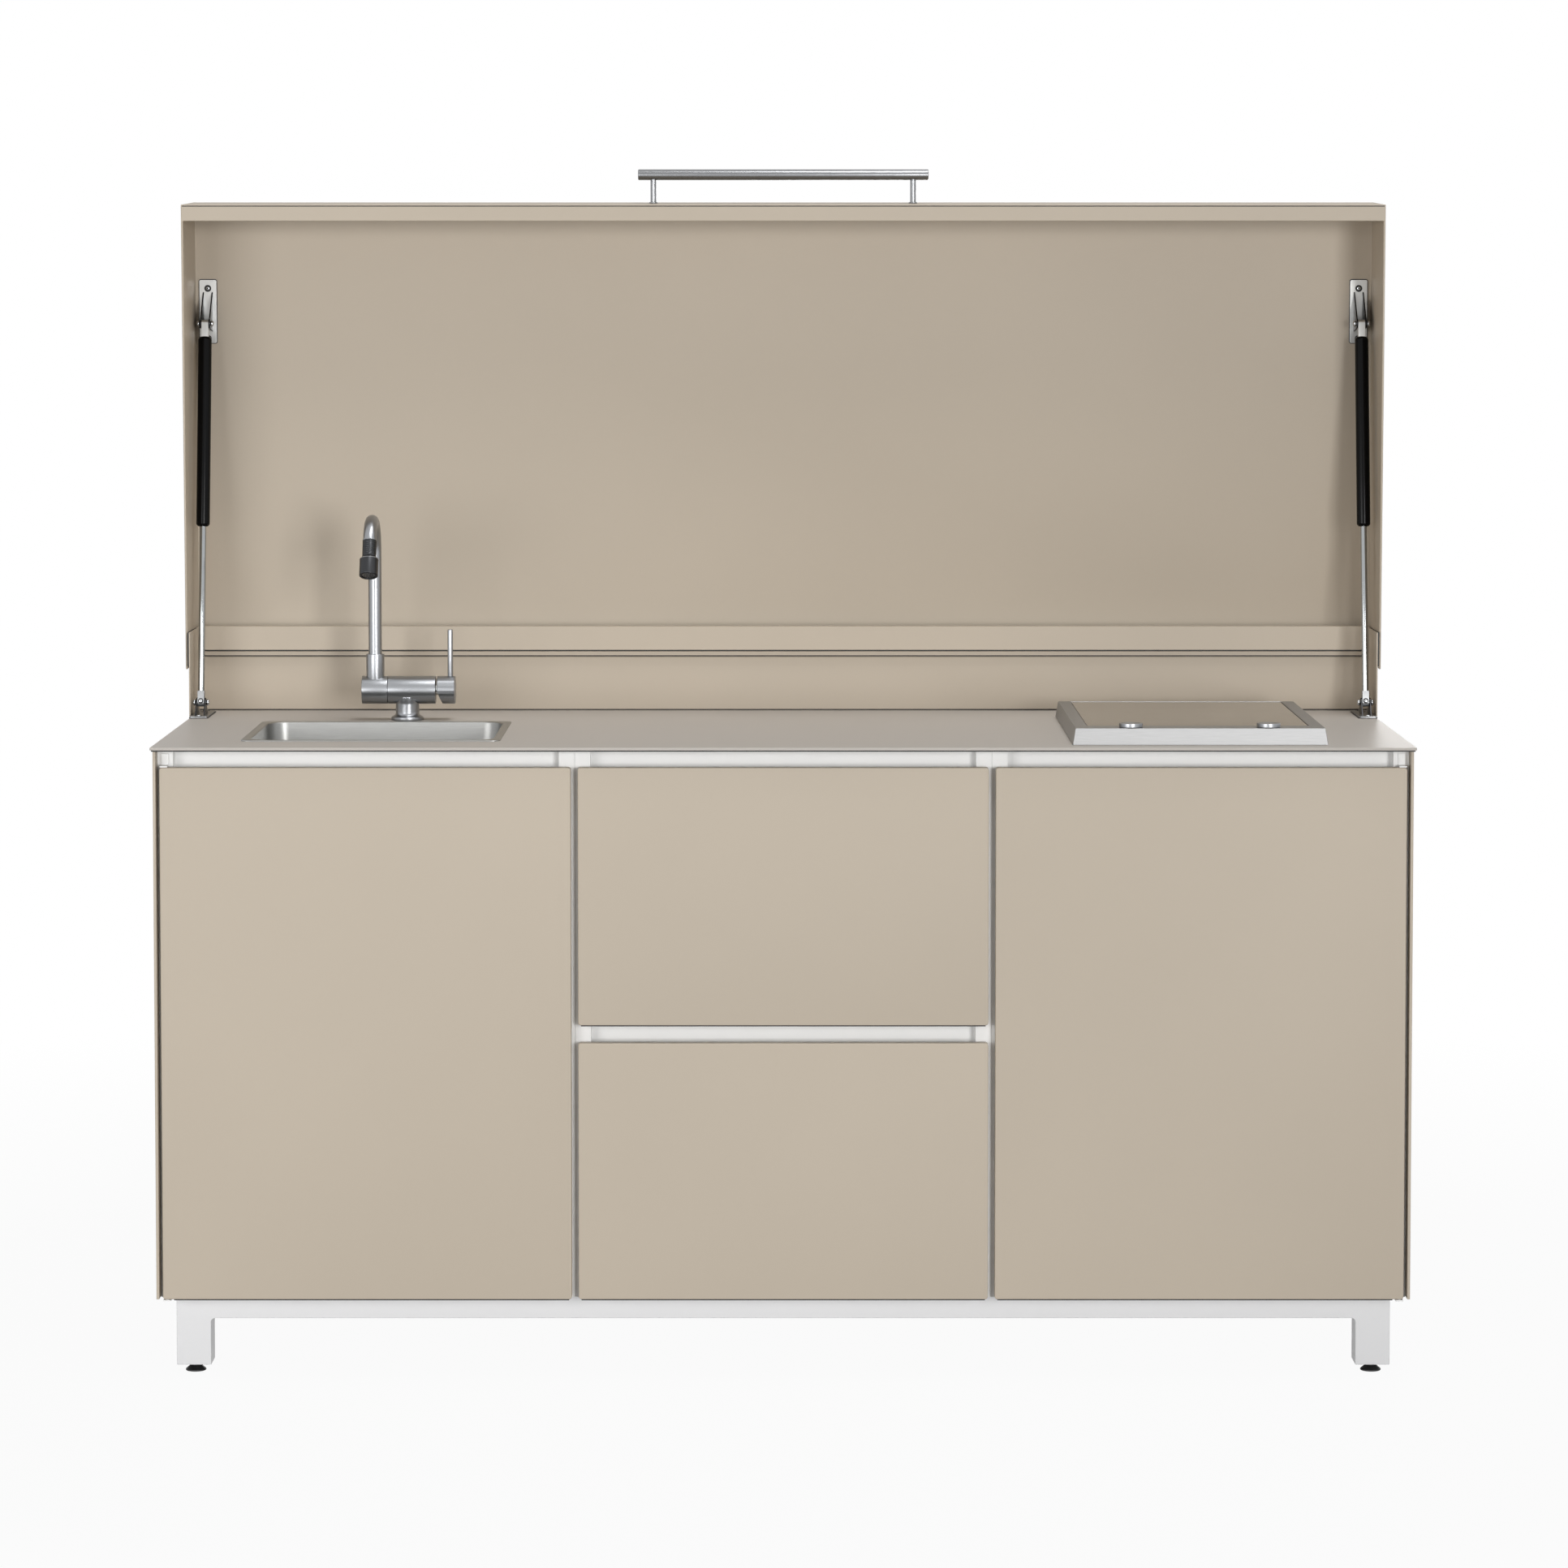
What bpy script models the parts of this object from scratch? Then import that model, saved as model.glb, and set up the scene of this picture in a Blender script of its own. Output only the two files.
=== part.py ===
"""Outdoor kitchen unit: three sheet-metal modules with a sink, a fry-top hob and a lift-up lid.

Metres, +Z up, the front faces -Y and +X is to the viewer's right. Depths are measured back
from the front edge of the worktop, and one parent empty then centres the unit on the origin.
"""
import math

import bpy
import bmesh
from mathutils import Matrix, Vector

# Clearances
SEAT_GAP = 0.0003
RUN_GAP = 0.0005
CUT_OVERRUN = 0.004
WELD_LAP = 0.001

# Modules and fronts
MODULE_WIDTH = 0.600
MODULE_COUNT = 3
MODULE_SEAM = 0.0003
CARCASS_SHEET = 0.002
POST_WIDTH = 0.0225
POST_DEPTH = 0.030
FRONT_SETBACK = 0.007
FRONT_THICK = 0.019
FRONT_BACK_GAP = 0.003
FRONT_MARGIN = 0.005
FRONT_CORNER = 0.004
FRONT_SHEET = 0.0015
FRONT_FLANGE = 0.045
FRONT_EDGE = 0.0008
BASE_GAP = 0.001
GRIP_GAP = 0.0255
DRAWER_GAP = 0.026
GRIP_RECESS = 0.022
GRIP_DROP = 0.028
GRIP_LIP = 0.018
CARCASS_LIFT = 0.003
BACK_RAIL_HEIGHT = 0.040
BACK_RAIL_DEPTH = 0.025

# Cladding
CLAD_THICK = 0.004
BACK_THICK = 0.002
BACK_OVERHANG = 0.0147

# Base frame and feet
LEG_SIZE = 0.050
LEG_HEIGHT = 0.107
LEG_INSET_X = 0.0175
LEG_SETBACK = 0.067
LEG_BACK_MARGIN = 0.025
BASE_RAIL_HEIGHT = 0.0385
LEG_FILLET = 0.006
FOOT_HEIGHT = 0.0122
FOOT_RADIUS = 0.0150
FOOT_TOP_RADIUS = 0.0095
FOOT_RIM = 0.0035
FOOT_CONE_TOP = 0.0088
STEM_RADIUS = 0.005
STEM_LENGTH = 0.024

# Worktop
WORKTOP_TOP = 0.920
WORKTOP_SHEET = 0.004
WORKTOP_OVERHANG = 0.0034
WORKTOP_DEPTH = 0.6397
WORKTOP_CORNER = 0.002

# Sink and its waste
SINK_CENTRE_SHARE = 0.4122
SINK_WIDTH_SHARE = 0.629
SINK_LENGTH_SHARE = 0.5112
SINK_RIM = 0.012
SINK_RIM_THICK = 0.0012
SINK_CORNER = 0.012
SINK_DEPTH = 0.180
SINK_SHEET = 0.0015
SINK_TAPER = 0.006
SINK_BOWL_CORNER = 0.030
SINK_FLOOR_RADIUS = 0.020
DRAIN_RADIUS = 0.035
WASTE_FLANGE_RADIUS = 0.042
WASTE_FLANGE_THICK = 0.0015
WASTE_WALL = 0.003
WASTE_CUP_DEPTH = 0.038
WASTE_NUT_RADIUS = 0.041
WASTE_NUT_HEIGHT = 0.012
PIPE_RADIUS = 0.020
PIPE_LENGTH = 0.070
TRAP_RADIUS = 0.032
TRAP_HEIGHT = 0.085
TRAP_EDGE = 0.006
STRAINER_HEIGHT = 0.006
STRAINER_KNOB_RADIUS = 0.005
STRAINER_KNOB_HEIGHT = 0.016
STRAINER_NECK_RADIUS = 0.003
STRAINER_HOLE_RADIUS = 0.003
STRAINER_HOLE_CIRCLE = 0.019

# Tap
TAP_SIDE_SHIFT = 0.0281
TAP_PLACE_SHARE = 0.730
TAP_AXIS_HEIGHT = 0.046
TAP_BODY_RADIUS = 0.0213
TAP_FLANGE_RADIUS = 0.0245
TAP_FLANGE_HEIGHT = 0.005
TAP_NECK_RADIUS = 0.0178
TAP_NECK_FLARE = 0.0195
TAP_BODY_LEFT = 0.0291
TAP_BODY_RIGHT = 0.0433
FOLD_JOINT_LENGTH = 0.0392
SPIGOT_RADIUS = 0.011
SPIGOT_LENGTH = 0.026
COLLAR_RADIUS = 0.01375
COLLAR_TOP = 0.101
COLLAR_BORE_DEPTH = 0.024
SPOUT_RADIUS = 0.010
SPOUT_OFFSET = 0.0486
SPOUT_BEND = 0.050
SPOUT_TOP = 0.3147
SPOUT_END_TILT = math.radians(27)
SLEEVE_RADIUS = 0.0106
SLEEVE_LENGTH = 0.027
SLEEVE_RIB = 0.0006
SLEEVE_RIBS = 4
NOZZLE_RADIUS = 0.01405
NOZZLE_LENGTH = 0.0285
NOZZLE_GAP = 0.002
NOZZLE_BALL_RADIUS = 0.008
NOZZLE_BALL_GAP = 0.0003
NOZZLE_EDGE = 0.0015
NOZZLE_BORE_RADIUS = 0.0105
NOZZLE_BORE_DEPTH = 0.004
CAP_GAP = 0.0022
CAP_LENGTH = 0.0275
CAP_WEDGE = 0.009
CAP_RECESS_RADIUS = 0.009
CARTRIDGE_RADIUS = 0.008
CARTRIDGE_DEPTH = 0.012
LEVER_RADIUS = 0.0041
LEVER_TOP = 0.138
LEVER_SEAT_DEPTH = 0.006
LEVER_FROM_CAP_END = 0.0076
TAP_EDGE = 0.0010

# Hob
HOB_SIDE_SHIFT = 0.001
HOB_FRONT = 0.0405
HOB_WIDTH_SHARE = 0.6133
HOB_LENGTH_SHARE = 0.7535
HOB_HEIGHT = 0.0241
HOB_SLOPE = 0.004
HOB_SIDE_STRIP = 0.019
HOB_FRONT_STRIP = 0.0465
HOB_BACK_STRIP = 0.002
PLATE_THICK = 0.010
PLATE_SINK = 0.0006
PLATE_GAP = 0.0008
PLATE_LEDGE = 0.008
KNOB_RADIUS = 0.0171
KNOB_HEIGHT = 0.0065
KNOB_SPACING = 0.1987
KNOB_SETBACK = 0.0195
KNOB_EDGE = 0.0010
KNOB_STEM_RADIUS = 0.003
KNOB_STEM_LENGTH = 0.018
HOUSING_DROP = 0.062
HOUSING_SHEET = 0.0015
HOUSING_TAPER = 0.020

# Upstand behind and beside the worktop
UPSTAND_SHEET = 0.002
UPSTAND_CHEEK_LENGTH = 0.125
UPSTAND_TOP = 1.052
UPSTAND_BOTTOM = 0.905
UPSTAND_FOLD = 0.022
RAIL_HEIGHT = 0.0365
RAIL_PROJECTION = 0.0147
RAIL_WALL = 0.002
RAIL_BACK_DROP = 0.037
GROOVE_HEIGHT = 0.0025
LIP_HEIGHT = 0.0063
LIP_PROJECTION = 0.010
SPLASH_THICK = 0.0027
SPLASH_GAP_TOP = 0.0030
SPLASH_GAP_BOTTOM = 0.0025

# Lid and its piano hinge
LID_SIDE_GAP = 0.0025
LID_SHEET = 0.003
LID_ABOVE_AXIS = 0.036
LID_FRONT_REACH = 0.6595
LID_BACK_REACH = 0.0507
LID_FLOAT = 0.002
LID_FLANGE = 0.025
LID_OPEN = math.radians(88)
AXIS_DROP = 0.004
HINGE_CURL_RADIUS = 0.004
HINGE_SHEET = 0.0017
HINGE_PIN_RADIUS = 0.0020
HINGE_LEAF_DROP = 0.030
HINGE_LEAF_REACH = 0.044
HINGE_END_INSET = 0.015
HINGE_KNUCKLES = 6
HINGE_END_GAP = 0.0008
HINGE_CURL_ANGLE = math.radians(290)
HANDLE_RADIUS = 0.00825
HANDLE_LENGTH = 0.4454
HANDLE_STANDOFF = 0.044
HANDLE_POST_RADIUS = 0.00455
HANDLE_POST_SPACING = 0.3984
HANDLE_EDGE = 0.0008

# Gas struts
STRUT_SIDE_INSET = 0.017
STRUT_BASE_SETBACK = 0.1186
STRUT_BASE_HEIGHT = 0.0217
STRUT_TOP_REACH = 0.4737
STRUT_TOP_DROP = 0.0112
CYLINDER_RADIUS = 0.0105
CYLINDER_LENGTH = 0.2945
CYLINDER_EYE_LENGTH = 0.0205
CYLINDER_EYE_WIDTH = 0.0110
CYLINDER_EYE_RADIUS = 0.0060
CYLINDER_EDGE = 0.0020
ROD_RADIUS = 0.0050
ROD_ENGAGE = 0.030
ROD_BLOCK_WIDTH = 0.0105
ROD_BLOCK_TOP = 0.0175
ROD_BLOCK_RADIUS = 0.0065
EAR_THICK = 0.002
EAR_NOSE = 0.007
PIN_RADIUS = 0.003
PIN_HEAD_RADIUS = 0.0048
PIN_HEAD_LENGTH = 0.0055
BASE_PLATE_THICK = 0.003
BASE_PLATE_WIDTH = 0.027
BASE_PLATE_FRONT = 0.039
BASE_PLATE_BACK = 0.079
BASE_EAR_LENGTH = 0.046
LID_PLATE_THICK = 0.0025
LID_PLATE_WIDTH = 0.0265
LID_PLATE_UP = 0.066
LID_PLATE_DOWN = 0.032
LID_EAR_UP = 0.048
LID_EAR_DOWN = 0.014

# Doors and their pivots
DOOR_AXIS_INSET = 0.006
PIVOT_RADIUS = 0.0025
PIVOT_GAP = 0.0003
PIVOT_ENGAGE = 0.011
PIVOT_PLATE = 0.002
PIVOT_WIDTH = 0.011
PIVOT_LEG = 0.018
PIVOT_FOOT_BACK = 0.030

# Drawers and runners
DRAWER_SIDE_GAP = 0.0203
DRAWER_SHEET = 0.0015
DRAWER_LENGTH = 0.500
DRAWER_HEIGHT = 0.180
DRAWER_RISE = 0.026
RUNNER_HEIGHT = 0.016
RUNNER_SHEET = 0.0015
RUNNER_DEPTH = 0.017
RUNNER_FROM_BOTTOM = 0.060
RUNNER_START = 0.006
RUNNER_FOOT = 0.020
RIB_HEIGHT = 0.012
RIB_REACH = 0.0175

# Facet counts
ROUND_SMALL = 12
ROUND_MEDIUM = 20
ROUND_LARGE = 32
CORNER_STEPS = 3
BEND_STEPS = 10
CURL_STEPS = 10
SMOOTH_ANGLE = math.radians(35)

# Heights, widths and depths worked out from the sizes above
CARCASS_HALF = MODULE_WIDTH * MODULE_COUNT / 2
POST_INNER = MODULE_WIDTH / 2 - MODULE_SEAM / 2 - POST_WIDTH
WORKTOP_HALF = CARCASS_HALF + SEAT_GAP + CLAD_THICK + WORKTOP_OVERHANG
UPSTAND_HALF = WORKTOP_HALF + SEAT_GAP + UPSTAND_SHEET
LID_HALF = UPSTAND_HALF + LID_SIDE_GAP + LID_SHEET
HINGE_HALF = UPSTAND_HALF - HINGE_END_INSET
STRUT_X = UPSTAND_HALF - STRUT_SIDE_INSET
DRAWER_HALF = POST_INNER - DRAWER_SIDE_GAP
SINK_CENTRE_X = -MODULE_WIDTH
SINK_CENTRE_Y = WORKTOP_DEPTH * SINK_CENTRE_SHARE
SINK_WIDTH = MODULE_WIDTH * SINK_WIDTH_SHARE
SINK_LENGTH = WORKTOP_DEPTH * SINK_LENGTH_SHARE
TAP_X = SINK_CENTRE_X + TAP_SIDE_SHIFT
TAP_Y = WORKTOP_DEPTH * TAP_PLACE_SHARE
HOB_CENTRE_X = MODULE_WIDTH + HOB_SIDE_SHIFT
HOB_WIDTH = MODULE_WIDTH * HOB_WIDTH_SHARE
HOB_LENGTH = WORKTOP_DEPTH * HOB_LENGTH_SHARE
WORKTOP_UNDER = WORKTOP_TOP - WORKTOP_SHEET
CARCASS_TOP = WORKTOP_UNDER - SEAT_GAP
BASE_TOP = FOOT_HEIGHT + SEAT_GAP + LEG_HEIGHT
CARCASS_BOTTOM = BASE_TOP + SEAT_GAP
FRONT_BOTTOM = BASE_TOP + BASE_GAP
FRONT_TOP = WORKTOP_UNDER - GRIP_GAP
FRONT_WIDTH = MODULE_WIDTH - 2 * FRONT_MARGIN
DRAWER_FRONT_HEIGHT = (FRONT_TOP - FRONT_BOTTOM - DRAWER_GAP) / 2
FRONT_BACK = FRONT_SETBACK + FRONT_THICK
POST_FRONT = FRONT_BACK + FRONT_BACK_GAP
CARCASS_BACK = WORKTOP_DEPTH - BACK_OVERHANG
WALL_FRONT = WORKTOP_DEPTH + SEAT_GAP
WALL_BACK = WALL_FRONT + UPSTAND_SHEET
UPSTAND_CHEEK_FRONT = WALL_BACK - UPSTAND_CHEEK_LENGTH
RAIL_TOP = UPSTAND_TOP
RAIL_BOTTOM = RAIL_TOP - RAIL_HEIGHT
LIP_TOP = RAIL_BOTTOM - GROOVE_HEIGHT
LIP_BOTTOM = LIP_TOP - LIP_HEIGHT
RAIL_BACK = WALL_BACK + SEAT_GAP + RAIL_WALL
AXIS_Y = RAIL_BACK + SEAT_GAP + HINGE_CURL_RADIUS
AXIS_Z = UPSTAND_TOP - AXIS_DROP
STRUT_BASE_Y = AXIS_Y - STRUT_BASE_SETBACK
LID_WALL = AXIS_Z + LID_ABOVE_AXIS - WORKTOP_TOP - LID_FLOAT
LID_UNDER = LID_ABOVE_AXIS - LID_SHEET
UNIT_DEPTH = AXIS_Y + LID_BACK_REACH * math.cos(LID_OPEN) + LID_ABOVE_AXIS * math.sin(LID_OPEN)
TAP_AXIS_Z = WORKTOP_TOP + TAP_AXIS_HEIGHT
SINK_SEAT_Z = WORKTOP_TOP + SEAT_GAP
SINK_FLOOR_Z = WORKTOP_TOP - SINK_DEPTH
HOB_SEAT_Z = WORKTOP_TOP + SEAT_GAP
HOB_TOP_Z = WORKTOP_TOP + HOB_HEIGHT


def clear_scene():
    """Remove every object the file opened with."""
    for item in list(bpy.data.objects):
        bpy.data.objects.remove(item, do_unlink=True)


def linear(channel):
    """Turn one sRGB channel from 0 to 255 into a linear value."""
    value = channel / 255
    return value / 12.92 if value <= 0.04045 else ((value + 0.055) / 1.055) ** 2.4


def finish(name, colour, roughness, metallic=0.0):
    """Make a Principled material from a hex colour."""
    material = bpy.data.materials.new(name)
    material.use_nodes = True
    shader = material.node_tree.nodes["Principled BSDF"]
    channels = [linear(int(colour[i:i + 2], 16)) for i in (0, 2, 4)]
    shader.inputs["Base Color"].default_value = (*channels, 1.0)
    shader.inputs["Roughness"].default_value = roughness
    shader.inputs["Metallic"].default_value = metallic
    return material


def empty(name, parent=None, location=(0, 0, 0), turn_x=0.0):
    """Make an empty that carries other objects."""
    holder = bpy.data.objects.new(name, None)
    bpy.context.collection.objects.link(holder)
    holder.parent = parent
    holder.location = location
    holder.rotation_euler.x = turn_x
    return holder


def make(name, bm, material, parent, location=(0, 0, 0), smooth=False):
    """Turn a bmesh into a named object with outward faces."""
    bmesh.ops.recalc_face_normals(bm, faces=bm.faces)
    mesh = bpy.data.meshes.new(name)
    bm.to_mesh(mesh)
    bm.free()
    if smooth:
        mesh.shade_smooth()
        mesh.set_sharp_from_angle(angle=SMOOTH_ANGLE)
    item = bpy.data.objects.new(name, mesh)
    bpy.context.collection.objects.link(item)
    item.data.materials.append(material)
    item.parent = parent
    item.location = location
    return item


def combine(target, tool, operation):
    """Cut target with tool, or join tool onto it, and hide the tool."""
    tool.hide_render = True
    tool.display_type = "WIRE"
    change = target.modifiers.new(f"{operation.lower()} {tool.name}", "BOOLEAN")
    change.operation = operation
    change.solver = "EXACT"
    change.object = tool


def bridge(bm, first, second):
    """Join two rings of vertices with faces."""
    count = len(first)
    for i in range(count):
        j = (i + 1) % count
        bm.faces.new((first[i], first[j], second[j], second[i]))


def add_loft(bm, rings, closed=False):
    """Skin rings of equally many points; a closed loft joins its ends, and others are capped."""
    skins = [[bm.verts.new(point) for point in ring] for ring in rings]
    for first, second in zip(skins, skins[1:]):
        bridge(bm, first, second)
    if closed:
        bridge(bm, skins[-1], skins[0])
    else:
        bm.faces.new(skins[0])
        bm.faces.new(skins[-1])


def add_prism(bm, outline, axis, start, end):
    """Extrude an outline along X (points are y, z), Y (points are x, z) or Z (points are x, y)."""
    def place(point, along):
        if axis == "X":
            return Vector((along, point[0], point[1]))
        if axis == "Y":
            return Vector((point[0], along, point[1]))
        return Vector((point[0], point[1], along))
    add_loft(bm, [[place(p, start) for p in outline], [place(p, end) for p in outline]])


def add_box(bm, low, high):
    """Add a box between two corners."""
    outline = [(low[0], low[1]), (high[0], low[1]), (high[0], high[1]), (low[0], high[1])]
    add_prism(bm, outline, "Z", low[2], high[2])


def add_turned(bm, profile, segments, axis="Z", centre=(0, 0, 0), loop=False):
    """Turn a profile of (radius, distance along the axis) round X, Y or Z; loop closes a ring section."""
    turns = {"Z": Matrix.Identity(3), "X": Matrix.Rotation(math.pi / 2, 3, "Y"),
             "Y": Matrix.Rotation(-math.pi / 2, 3, "X")}
    turn = turns[axis]
    middle = Vector(centre)
    rings = []
    for radius, along in profile:
        if radius == 0:
            rings.append([bm.verts.new(turn @ Vector((0, 0, along)) + middle)])
            continue
        ring = []
        for i in range(segments):
            angle = 2 * math.pi * i / segments
            spot = Vector((radius * math.cos(angle), radius * math.sin(angle), along))
            ring.append(bm.verts.new(turn @ spot + middle))
        rings.append(ring)
    pairs = list(zip(rings, rings[1:]))
    if loop:
        pairs.append((rings[-1], rings[0]))
    for first, second in pairs:
        if len(first) == 1 or len(second) == 1:
            pole, ring = (first[0], second) if len(first) == 1 else (second[0], first)
            for i in range(segments):
                bm.faces.new((pole, ring[i], ring[(i + 1) % segments]))
        else:
            bridge(bm, first, second)


def rounded(low_a, high_a, low_b, high_b, radius, steps=CORNER_STEPS):
    """Outline of a rectangle with round corners, anticlockwise."""
    points = []
    centres = [(high_a - radius, high_b - radius, 0), (low_a + radius, high_b - radius, 1),
               (low_a + radius, low_b + radius, 2), (high_a - radius, low_b + radius, 3)]
    for a, b, quarter in centres:
        for i in range(steps + 1):
            angle = math.pi / 2 * (quarter + i / steps)
            points.append((a + radius * math.cos(angle), b + radius * math.sin(angle)))
    return points


def arc(centre, radius, start, end, steps):
    """Points along an arc, both ends included."""
    points = []
    for i in range(steps + 1):
        angle = start + (end - start) * i / steps
        points.append((centre[0] + radius * math.cos(angle), centre[1] + radius * math.sin(angle)))
    return points


def flat_ring(outline, height):
    """Lift a flat outline to a height."""
    return [Vector((x, y, height)) for x, y in outline]


def build_base(kit, white, black):
    """Welded square-tube frame with four turned levelling feet."""
    half = CARCASS_HALF - LEG_INSET_X
    front = LEG_SETBACK
    back = CARCASS_BACK - LEG_BACK_MARGIN
    under = BASE_TOP - BASE_RAIL_HEIGHT
    bottom = FOOT_HEIGHT + SEAT_GAP
    leg_inner = half - LEG_SIZE
    outline = [(-half, bottom), (-leg_inner, bottom)]
    outline += arc((-leg_inner + LEG_FILLET, under - LEG_FILLET), LEG_FILLET, math.pi, math.pi / 2,
                   CORNER_STEPS)
    outline += arc((leg_inner - LEG_FILLET, under - LEG_FILLET), LEG_FILLET, math.pi / 2, 0,
                   CORNER_STEPS)
    outline += [(leg_inner, bottom), (half, bottom), (half, BASE_TOP), (-half, BASE_TOP)]
    bm = bmesh.new()
    add_prism(bm, outline, "Y", front, front + LEG_SIZE)
    frame = make("base_frame", bm, white, kit)
    bm = bmesh.new()
    add_prism(bm, outline, "Y", back - LEG_SIZE, back)
    combine(frame, make("base_back", bm, white, kit), "UNION")
    for side in (-1, 1):
        bm = bmesh.new()
        low = min(side * half, side * leg_inner)
        add_box(bm, (low, front + LEG_SIZE - WELD_LAP, under),
                (low + LEG_SIZE, back - LEG_SIZE + WELD_LAP, BASE_TOP))
        combine(frame, make(f"base_side_{side}", bm, white, kit), "UNION")
    places = {"foot_front_left": (-1, front), "foot_front_right": (1, front),
              "foot_back_left": (-1, back - LEG_SIZE), "foot_back_right": (1, back - LEG_SIZE)}
    for name, (side, near) in places.items():
        spot = (side * (half - LEG_SIZE / 2), near + LEG_SIZE / 2, 0)
        bm = bmesh.new()
        hole = STEM_RADIUS + RUN_GAP
        add_turned(bm, [(0, bottom - CUT_OVERRUN), (hole, bottom - CUT_OVERRUN),
                        (hole, FOOT_HEIGHT + STEM_LENGTH + RUN_GAP),
                        (0, FOOT_HEIGHT + STEM_LENGTH + RUN_GAP)],
                   ROUND_SMALL)
        combine(frame, make(f"hole_{name}", bm, white, kit, spot), "DIFFERENCE")
        bm = bmesh.new()
        add_turned(bm, [(0, 0), (FOOT_RADIUS - FOOT_RIM / 2, 0), (FOOT_RADIUS, FOOT_RIM / 2),
                        (FOOT_RADIUS, FOOT_RIM),
                        (FOOT_TOP_RADIUS, FOOT_CONE_TOP), (FOOT_TOP_RADIUS, FOOT_HEIGHT),
                        (STEM_RADIUS, FOOT_HEIGHT),
                        (STEM_RADIUS, FOOT_HEIGHT + STEM_LENGTH), (0, FOOT_HEIGHT + STEM_LENGTH)],
                        ROUND_MEDIUM)
        make(name, bm, black, kit, spot, smooth=True)


def grip_channel(bm, left, right, top, bottom):
    """Recessed C channel behind a grip gap, open to the front, between two heights."""
    web = POST_FRONT + GRIP_RECESS
    lip = web - GRIP_LIP
    sheet = CARCASS_SHEET
    outline = [(lip, bottom), (web + sheet, bottom), (web + sheet, top), (lip, top), (lip, top - sheet),
               (web, top - sheet), (web, bottom + sheet), (lip, bottom + sheet)]
    add_prism(bm, outline, "X", left, right)


def build_carcass(kit, white, name, centre, with_middle):
    """One cabinet module: two C-section side walls, floor, back, grip channels and a back rail."""
    half = MODULE_WIDTH / 2 - MODULE_SEAM / 2
    sheet = CARCASS_SHEET
    body = None
    for side in (-1, 1):
        outline = [(side * half, CARCASS_BACK), (side * half, POST_FRONT),
                   (side * (half - POST_WIDTH), POST_FRONT),
                   (side * (half - POST_WIDTH), POST_FRONT + POST_DEPTH),
                   (side * (half - POST_WIDTH + sheet), POST_FRONT + POST_DEPTH),
                   (side * (half - POST_WIDTH + sheet), POST_FRONT + sheet),
                   (side * (half - sheet), POST_FRONT + sheet), (side * (half - sheet), CARCASS_BACK)]
        bm = bmesh.new()
        add_prism(bm, outline, "Z", CARCASS_BOTTOM, CARCASS_TOP)
        wall = make(name if body is None else f"{name}_wall", bm, white, kit, (centre, 0, 0))
        if body is None:
            body = wall
        else:
            combine(body, wall, "UNION")
    reach = half - WELD_LAP
    floor = CARCASS_BOTTOM + CARCASS_LIFT
    shapes = []
    bm = bmesh.new()
    add_box(bm, (-reach, POST_FRONT + WELD_LAP, floor), (reach, CARCASS_BACK - WELD_LAP, floor + sheet))
    shapes.append(("floor", bm))
    bm = bmesh.new()
    back = CARCASS_BACK - WELD_LAP
    add_box(bm, (-reach, back - sheet, floor + WELD_LAP), (reach, back, CARCASS_TOP - WELD_LAP))
    shapes.append(("back", bm))
    bm = bmesh.new()
    grip_channel(bm, -reach, reach, CARCASS_TOP - WELD_LAP, FRONT_TOP - GRIP_DROP)
    shapes.append(("grip", bm))
    if with_middle:
        lower_top = FRONT_BOTTOM + DRAWER_FRONT_HEIGHT
        bm = bmesh.new()
        grip_channel(bm, -reach, reach, lower_top + DRAWER_GAP + WELD_LAP, lower_top - GRIP_DROP)
        shapes.append(("middle_grip", bm))
    bm = bmesh.new()
    rail_front = CARCASS_BACK - BACK_RAIL_DEPTH
    top = CARCASS_TOP - WELD_LAP - sheet
    add_box(bm, (-reach, rail_front, top), (reach, back - WELD_LAP, top + sheet))
    shapes.append(("back_rail", bm))
    for label, shape in shapes:
        combine(body, make(f"{name}_{label}", shape, white, kit, (centre, 0, 0)), "UNION")
    return body


def build_cladding(kit, taupe):
    """Side panels flush with the fronts, and the panel across the back."""
    for name, side in (("side_panel_left", -1), ("side_panel_right", 1)):
        inner = CARCASS_HALF + SEAT_GAP
        low, high = sorted((side * inner, side * (inner + CLAD_THICK)))
        bm = bmesh.new()
        add_box(bm, (low, FRONT_SETBACK, FRONT_BOTTOM), (high, CARCASS_BACK, CARCASS_TOP))
        make(name, bm, taupe, kit)
    bm = bmesh.new()
    back = CARCASS_BACK + SEAT_GAP
    add_box(bm, (-CARCASS_HALF, back, FRONT_BOTTOM), (CARCASS_HALF, back + BACK_THICK, CARCASS_TOP))
    make("back_panel", bm, taupe, kit)


def sink_outline(inset, radius):
    """Rounded outline of the sink, drawn in by an inset."""
    half_x = SINK_WIDTH / 2 - inset
    half_y = SINK_LENGTH / 2 - inset
    return rounded(SINK_CENTRE_X - half_x, SINK_CENTRE_X + half_x, SINK_CENTRE_Y - half_y,
                   SINK_CENTRE_Y + half_y,
                   radius)


def hob_box(inset):
    """Rectangle of the hob, drawn in by an inset all round."""
    low_x, high_x = HOB_CENTRE_X - HOB_WIDTH / 2 + inset, HOB_CENTRE_X + HOB_WIDTH / 2 - inset
    front, back = HOB_FRONT + inset, HOB_FRONT + HOB_LENGTH - inset
    return [(low_x, front), (high_x, front), (high_x, back), (low_x, back)]


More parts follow.
